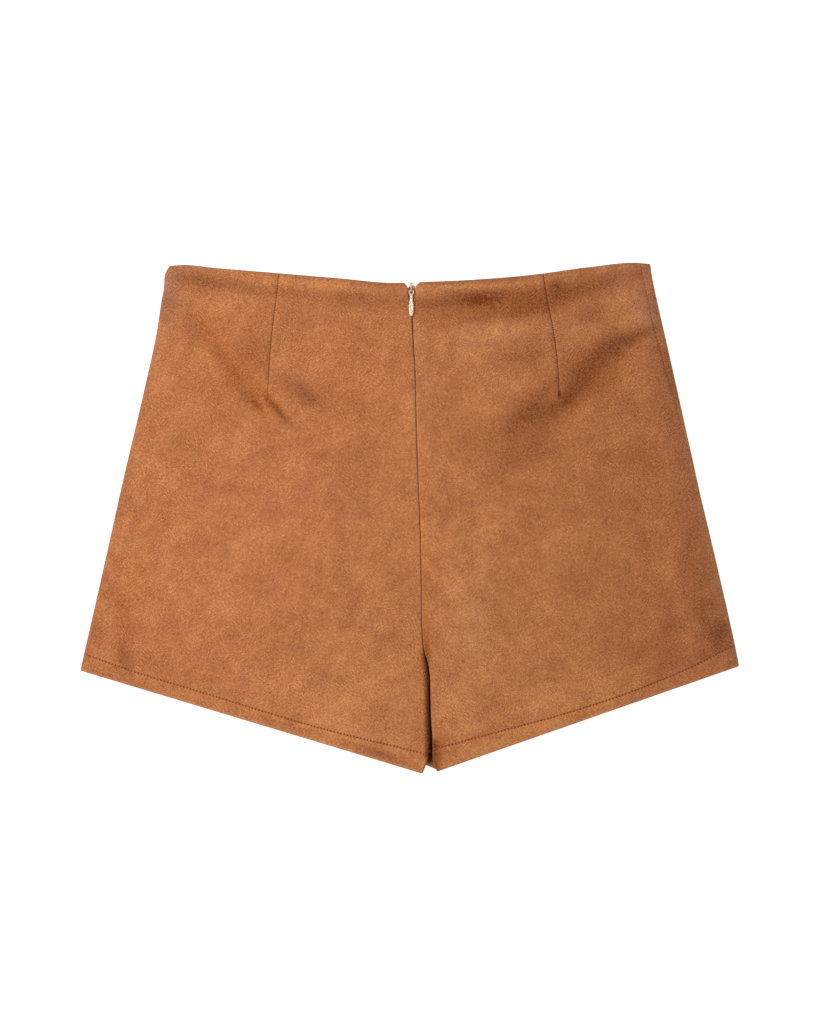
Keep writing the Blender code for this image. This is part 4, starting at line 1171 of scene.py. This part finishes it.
def stitches(name, line, up):
    """A row of stitches on a polyline, one to each pitch: an arch from hole to hole."""
    along = lengths(line[None])[0]
    share = np.linspace(0.06, 0.94, STITCH_RINGS)
    at = (np.arange(1, int(along[-1] / HEM_PITCH) - 1)[:, None] + share) * HEM_PITCH
    lift = resample(up, along, at)
    arch = 1 - (2 * share - 1) ** 2
    rise = THREAD_LIFT * (2.2 * arch - 1.2)
    paths = resample(line, along, at) + lift * rise[:, None]
    made = put_mesh(name, *tubes(paths, THREAD_RADIUS * (0.55 + 0.45 * arch), lift, 6), [tan_thread])
    wear(made, "garment")


tan_thread = mottled("tan_thread", (0.35, 0.100, 0.034), (0.27, 0.070, 0.022), (0.42, 0.130, 0.045),
                     {"Roughness": 0.55, "Sheen Weight": 0.2}, "ShaderNodeTexWave",
                     {"Scale": 1800.0, "Distortion": 1.0}, bands_direction="DIAGONAL")
for name, (_, grid) in backs.items():
    line, up = (values[back_stitch_row, ::INWARD[name]] for values in (grid, -normals(grid)))
    stitches("hem_stitches_" + name, line, up)
stitches("skirt_hem_stitches", skirt_points[low_stitch_row], normals(skirt_points)[low_stitch_row])

# %% [markdown]
# ## The zip
#
# A concealed zip is sewn behind the seam, so from outside almost only its slider and pull show. Its
# coil is one nylon strand wound round and round on the tape's edge: a helix, made by the same tube
# function as the stitches.

# %% Zip tapes and coil
TAPE_EDGES = table("y off", (
    (167.5, 0.55), (163.2, 0.55), (160.5, 0.05), (-20, 0.05),
))
ZIP_X = 0.0012
COIL_TOP_Y = 0.1600
TAPE_WIDTH = 0.0110
TAPE = 0.0006
TAPE_BELOW_PANEL = 0.00012
COIL_PITCH = 0.0011
COIL_RADIUS = (0.00068, 0.00045)    # across and up
COIL_STRAND = 0.00017
COIL_TURN_POINTS = 10


def tape_middle(y):
    """The line between the tapes: the seam, and at the top the slider's own line."""
    return mix(seam(y), ZIP_X, ease(y, COIL_TOP_Y - TAPE_WIDTH, COIL_TOP_Y))


def zip_tape(name):
    """Narrow woven band under a back panel; it follows the panel's height."""
    y = np.linspace(TAPE_EDGES["y"].max(), TAPE_EDGES["y"].min(), 150)[:, None]
    u = np.linspace(0, TAPE_WIDTH, 12)[None, :]
    off = np.interp(y, TAPE_EDGES["y"][::-1], TAPE_EDGES["off"][::-1])
    x = tape_middle(y) - INWARD[name] * (off + u)
    z = back_top(x, y) - CLOTH - TAPE_BELOW_PANEL
    order = -INWARD[name]
    made = shell("zip_tape_cloth_" + name, stack(x, y, z)[:, ::order], np.full(x.shape, TAPE), -1,
                 np.full(x.shape, SEAM_ROUND), [tape_weave, tape_weave], np.ones(x.shape, bool),
                 stack(u, y)[:, ::order], {})
    wear(made, "garment", "zip_tape_" + name)


def zip_coil(name):
    """Helix along the tape's edge: x = edge + r cos(a), z = z0 + h sin(a), a = 2 pi y / pitch."""
    across, rise = COIL_RADIUS
    turns = (COIL_TOP_Y - TAPE_EDGES["y"].min() - 0.002) / COIL_PITCH
    angle = np.linspace(0, 2 * math.pi * turns, int(turns * COIL_TURN_POINTS))
    y = COIL_TOP_Y - 0.001 - COIL_PITCH * angle / (2 * math.pi)
    edge = tape_middle(y) - INWARD[name] * (0.00015 + across + COIL_STRAND)
    x = edge + INWARD[name] * across * np.cos(angle)
    z0 = back_top(edge, y) - CLOTH - TAPE_BELOW_PANEL - TAPE - rise + 0.0002
    path = stack(x, y, z0 + rise * np.sin(angle))[None]
    made = put_mesh("zip_coil_" + name, *tubes(path, COIL_STRAND, (0.0, 1.0, 0.0), 5), [brown_nylon])
    wear(made, "garment")


brown_nylon = mottled("brown_nylon", (0.10, 0.060, 0.045), (0.07, 0.04, 0.03), (0.14, 0.09, 0.07),
                      {"Roughness": 0.35}, "ShaderNodeTexNoise", {"Scale": 900.0, "Detail": 2.0})
for make in (zip_tape, zip_coil):
    for name in INWARD:
        make(name)

# %% [markdown]
# ## Slider and pull
#
# Both are small die castings under cream enamel, rounded all over. So the slider is made of
# *superellipsoids*: an ellipsoid whose powers are below 1 fills out towards a box with soft
# corners. The pull is a teardrop paddle below a ring. Its grid runs from the eye out to the
# outline, and its height falls to zero at both, so it closes by itself.

# %% Enamel
HINGE_Y = 0.1669
HINGE_Z = 0.00640
# Brown painted shade for the enamel's edges and the slider's low parts.
ENAMEL_EDGE_SHADE = (0.42, 0.22, 0.11)


def enamel(name, dark, light, middle_z, edge_z):
    """Enamel: smooth, with faint orange-peel and a clear coat. It is painted darker and browner, as
    shade, where the casting is less than edge_z from its middle height, so at the edges."""
    made, tree, shader = material(name, light, {"Roughness": 0.30, "Coat Weight": 0.90,
                                                "Coat Roughness": 0.09})
    place = node(tree, "ShaderNodeTexCoord")["Object"]
    colour = blend(tree, noise(tree, place, 420, 3), dark, light)
    away = maths(tree, "ABSOLUTE", maths(tree, "SUBTRACT", parts_of(tree, place)["Z"], middle_z))
    colour = blend(tree, smooth(tree, away, 0.3 * edge_z, edge_z), ENAMEL_EDGE_SHADE, colour)
    finish(tree, shader, colour, noise(tree, place, 2600, 1), strength=0.25, distance=0.00005)
    return made


cream_enamel = enamel("cream_enamel", (0.62, 0.40, 0.26), (0.76, 0.53, 0.38), HINGE_Z, 0.00055)
# The slider's enamel is a darker, browner copy, painted in shade around 3 mm up, low in the notch.
peach_enamel = enamel("peach_enamel", (0.48, 0.27, 0.16), (0.66, 0.41, 0.27), 0.0030, 0.0014)
print("enamel:", len(cream_enamel.node_tree.nodes), "nodes")

# %% Slider: plate, bridge, crown and bail in one piece
BLOCKS = table("x y z length width height", (
    (1.2, 166.3, 1.85, 7.8, 5.2, 1.7), (1.2, 169, 3.8, 4.8, 1.2, 3.4), (3.1, 169.3, 4.1, 2.6, 1.7, 1.5),
    (1.2, 170.7, 5.35, 4.2, 2.7, 1.9),
))
BLOCK_POWERS = (0.45, 0.6)  # round its height, and round its plan
BLOCK_RINGS = 16
BLOCK_SIDES = 32
BAIL_RADIUS = 0.00102
BAIL_WIRE = 0.00030
BAIL_FOOT = 0.0025


def powered(angle, exponent):
    """Cosine and sine of an angle, raised to a power with their signs kept."""
    return [np.sign(wave) * np.abs(wave) ** exponent for wave in (np.cos(angle), np.sin(angle))]


def block(place, size):
    """Superellipsoid: x = a C(v) C(u), y = b C(v) S(u), z = c S(v), with powered C and S."""
    cu, su = powered(np.linspace(0, 2 * math.pi, BLOCK_SIDES, endpoint=False), BLOCK_POWERS[1])
    v = np.linspace(-math.pi / 2, math.pi / 2, BLOCK_RINGS + 2)[1:-1, None]
    cv, sv = powered(v, BLOCK_POWERS[0])
    shape = np.concatenate([stack(cv * cu, cv * su, sv).reshape(-1, 3), [[0, 0, -1], [0, 0, 1]]])
    return np.array(place) + shape * np.array(size) / 2, tube_faces(1, BLOCK_RINGS, BLOCK_SIDES)


def bail():
    """Wire arch over the hinge: straight legs and half a circle."""
    turn = np.linspace(0, math.pi, 17)
    y = HINGE_Y + BAIL_RADIUS * np.cos(turn)
    z = HINGE_Z + BAIL_RADIUS * np.sin(turn)
    legs = np.linspace(BAIL_FOOT, HINGE_Z, 5)[:-1]
    y = np.concatenate([np.full(4, y[0]), y, np.full(4, y[-1])])
    z = np.concatenate([legs, z, legs[::-1]])
    return tubes(stack(ZIP_X, y, z)[None], BAIL_WIRE, (1.0, 0.0, 0.0), 10)


def merge(parts):
    """Points and faces of several parts as one."""
    points, faces = [], []
    for part_points, part_faces in parts:
        faces += [face + sum(map(len, points)) for face in part_faces]
        points.append(part_points)
    return np.concatenate(points), faces


blocks = [block((x, y, z), (width, length, height))
          for x, y, z, length, width, height in zip(*BLOCKS.values())]
slider = put_mesh("zip_slider_body", *merge(blocks + [bail()]), [peach_enamel])
wear(slider, "garment", "zip_slider")

# %% Pull tab
PULL_EYE = 0.00160          # from the hinge to the middle of the eye
PULL_HOLE = 0.00090
PULL_RING = 0.00215         # outer radius of the ring
PULL_TIP = 0.0194
PULL_BELLY = 0.0006         # half of the paddle's thickness, and of the ring's
PULL_WIRE = 0.0005
PULL_SAMPLES = 40
PULL_RINGS = 17
PADDLE = table("along half", (
    (2.4, 0), (3.1, 0.9), (4.6, 1.05), (6.2, 1.2), (9, 1.6), (12, 1.9), (14.6, 1.85), (17, 1.5),
    (18.6, 0.9), (19.4, 0),
))


def pull_half(along):
    """Half width of the tab: ring and paddle joined by (ring^4 + paddle^4)^(1/4)."""
    ring = np.sqrt(np.clip(PULL_RING**2 - (along - PULL_EYE) ** 2, 0, None))
    paddle = np.clip(curve(PADDLE, "along", "half", along), 0, None)
    return (ring**4 + paddle**4) ** 0.25


def even_arc(count):
    """Shares from 0 to 1, close together at both ends: (1 - cos t) / 2."""
    return (1 - np.cos(np.linspace(0, math.pi, count))) / 2


def pull_tab():
    """Grid of rays from the eye to the outline, above and below."""
    down = mix(PULL_EYE - PULL_RING, PULL_TIP, even_arc(PULL_SAMPLES))
    half = pull_half(down)
    rim = np.concatenate([stack(half, down), stack(-half, down)[-2:0:-1]])
    polar = np.arctan2(rim[:, 0], PULL_EYE - rim[:, 1])
    eye = stack(PULL_HOLE * np.sin(polar), PULL_EYE - PULL_HOLE * np.cos(polar))
    flat = mix(eye, rim, even_arc(PULL_RINGS)[:, None, None])
    across, along = flat[..., 0], flat[..., 1]
    radius = np.hypot(across, along - PULL_EYE)
    in_ring = np.abs(2 * radius - PULL_RING - PULL_HOLE) / (PULL_RING - PULL_HOLE)
    in_paddle = np.abs(across) / np.maximum(pull_half(along), 1e-6)
    below = ease(radius, (PULL_RING + PULL_HOLE) / 2, PULL_RING) * (along > PULL_EYE)
    off = np.clip(mix(in_ring, in_paddle, below), 0, 1)
    off[[0, -1]] = 1
    height = mix(PULL_WIRE, PULL_BELLY, ease(along, 0.004, 0.010)) * np.sqrt(1 - off**2.1)
    top, low = (stack(ZIP_X + across, HINGE_Y - along, HINGE_Z + z) for z in (height, -height))
    loops = np.concatenate([top, low[-2:0:-1]])
    number = np.arange(loops[..., 0].size).reshape(loops.shape[:2])
    return loops.reshape(-1, 3), list(quads(np.pad(number, ((0, 1), (0, 1)), "wrap")))


pull = put_mesh("zip_pull_tab", *pull_tab(), [cream_enamel])
wear(pull, "pull_tab", "zip_pull")

# %% [markdown]
# ## The panels
#
# Five panels of cloth make the garment: two backs, the skirt panel and two shorts fronts.


print("5 cloth panels")

# %% [markdown]
# ## Floor, light and camera
#
# The skort lies on a plain pale floor. A bright even sky fills the shadows, and one large soft
# lamp at the upper left gives the folds their form. The camera looks straight down, through a
# long lens, so that the outline isn't distorted.

# %% Floor
FLOOR_DROP = 0.0002
FLOOR_GLOW = 0.84           # the floor is lit from below, as on a light table
bpy.ops.mesh.primitive_plane_add(size=8, location=(0, 0, -FLOOR_DROP))
floor = bpy.context.object
floor.name = "floor"
floor.data.materials.append(material("pale_floor", (0.40, 0.40, 0.40), {
    "Roughness": 0.9, "Specular IOR Level": 0.1, "Emission Color": (1, 1, 1, 1),
    "Emission Strength": FLOOR_GLOW})[0])
print("floor at", -FLOOR_DROP)

# %% Light
SKY = 0.41
LAMPS = {"window": ((-1.05, 0.30, 0.95), 0.70, 20.2),      # place, size and watts
         "spark": ((0.30, 0.30, 1.60), 0.20, 3.4)}

world = bpy.data.worlds.new("studio")
bpy.context.scene.world = world
world.use_nodes = True
world.node_tree.nodes["Background"].inputs["Color"].default_value = (1, 1, 1, 1)
world.node_tree.nodes["Background"].inputs["Strength"].default_value = SKY
for name, (place, size, watts) in LAMPS.items():
    light = bpy.data.lights.new(name, "AREA")
    light.energy = watts
    light.size = size
    lamp = bpy.data.objects.new(name, light)
    lamp.location = place
    lamp.rotation_euler = (-Vector(place)).to_track_quat("-Z", "Y").to_euler()
    bpy.context.collection.objects.link(lamp)
bpy.context.scene.view_settings.view_transform = "Standard"
print(len(LAMPS), "lamps, sky", SKY)

# %% Camera
VIEW = (-0.0002, 0.0044)    # the middle of the picture
METRES_PER_PIXEL = 0.0007335
PICTURE_HEIGHT = 1024
LENS = 100
SENSOR = 36
SILHOUETTE_Z = 0.0045

camera = bpy.data.objects.new("camera", bpy.data.cameras.new("camera"))
camera.data.lens = LENS
camera.data.sensor_width = SENSOR
distance = PICTURE_HEIGHT * METRES_PER_PIXEL * LENS / SENSOR
camera.location = (*VIEW, SILHOUETTE_Z + distance)
bpy.context.collection.objects.link(camera)
bpy.context.scene.camera = camera
print("camera", round(distance, 3), "m up")
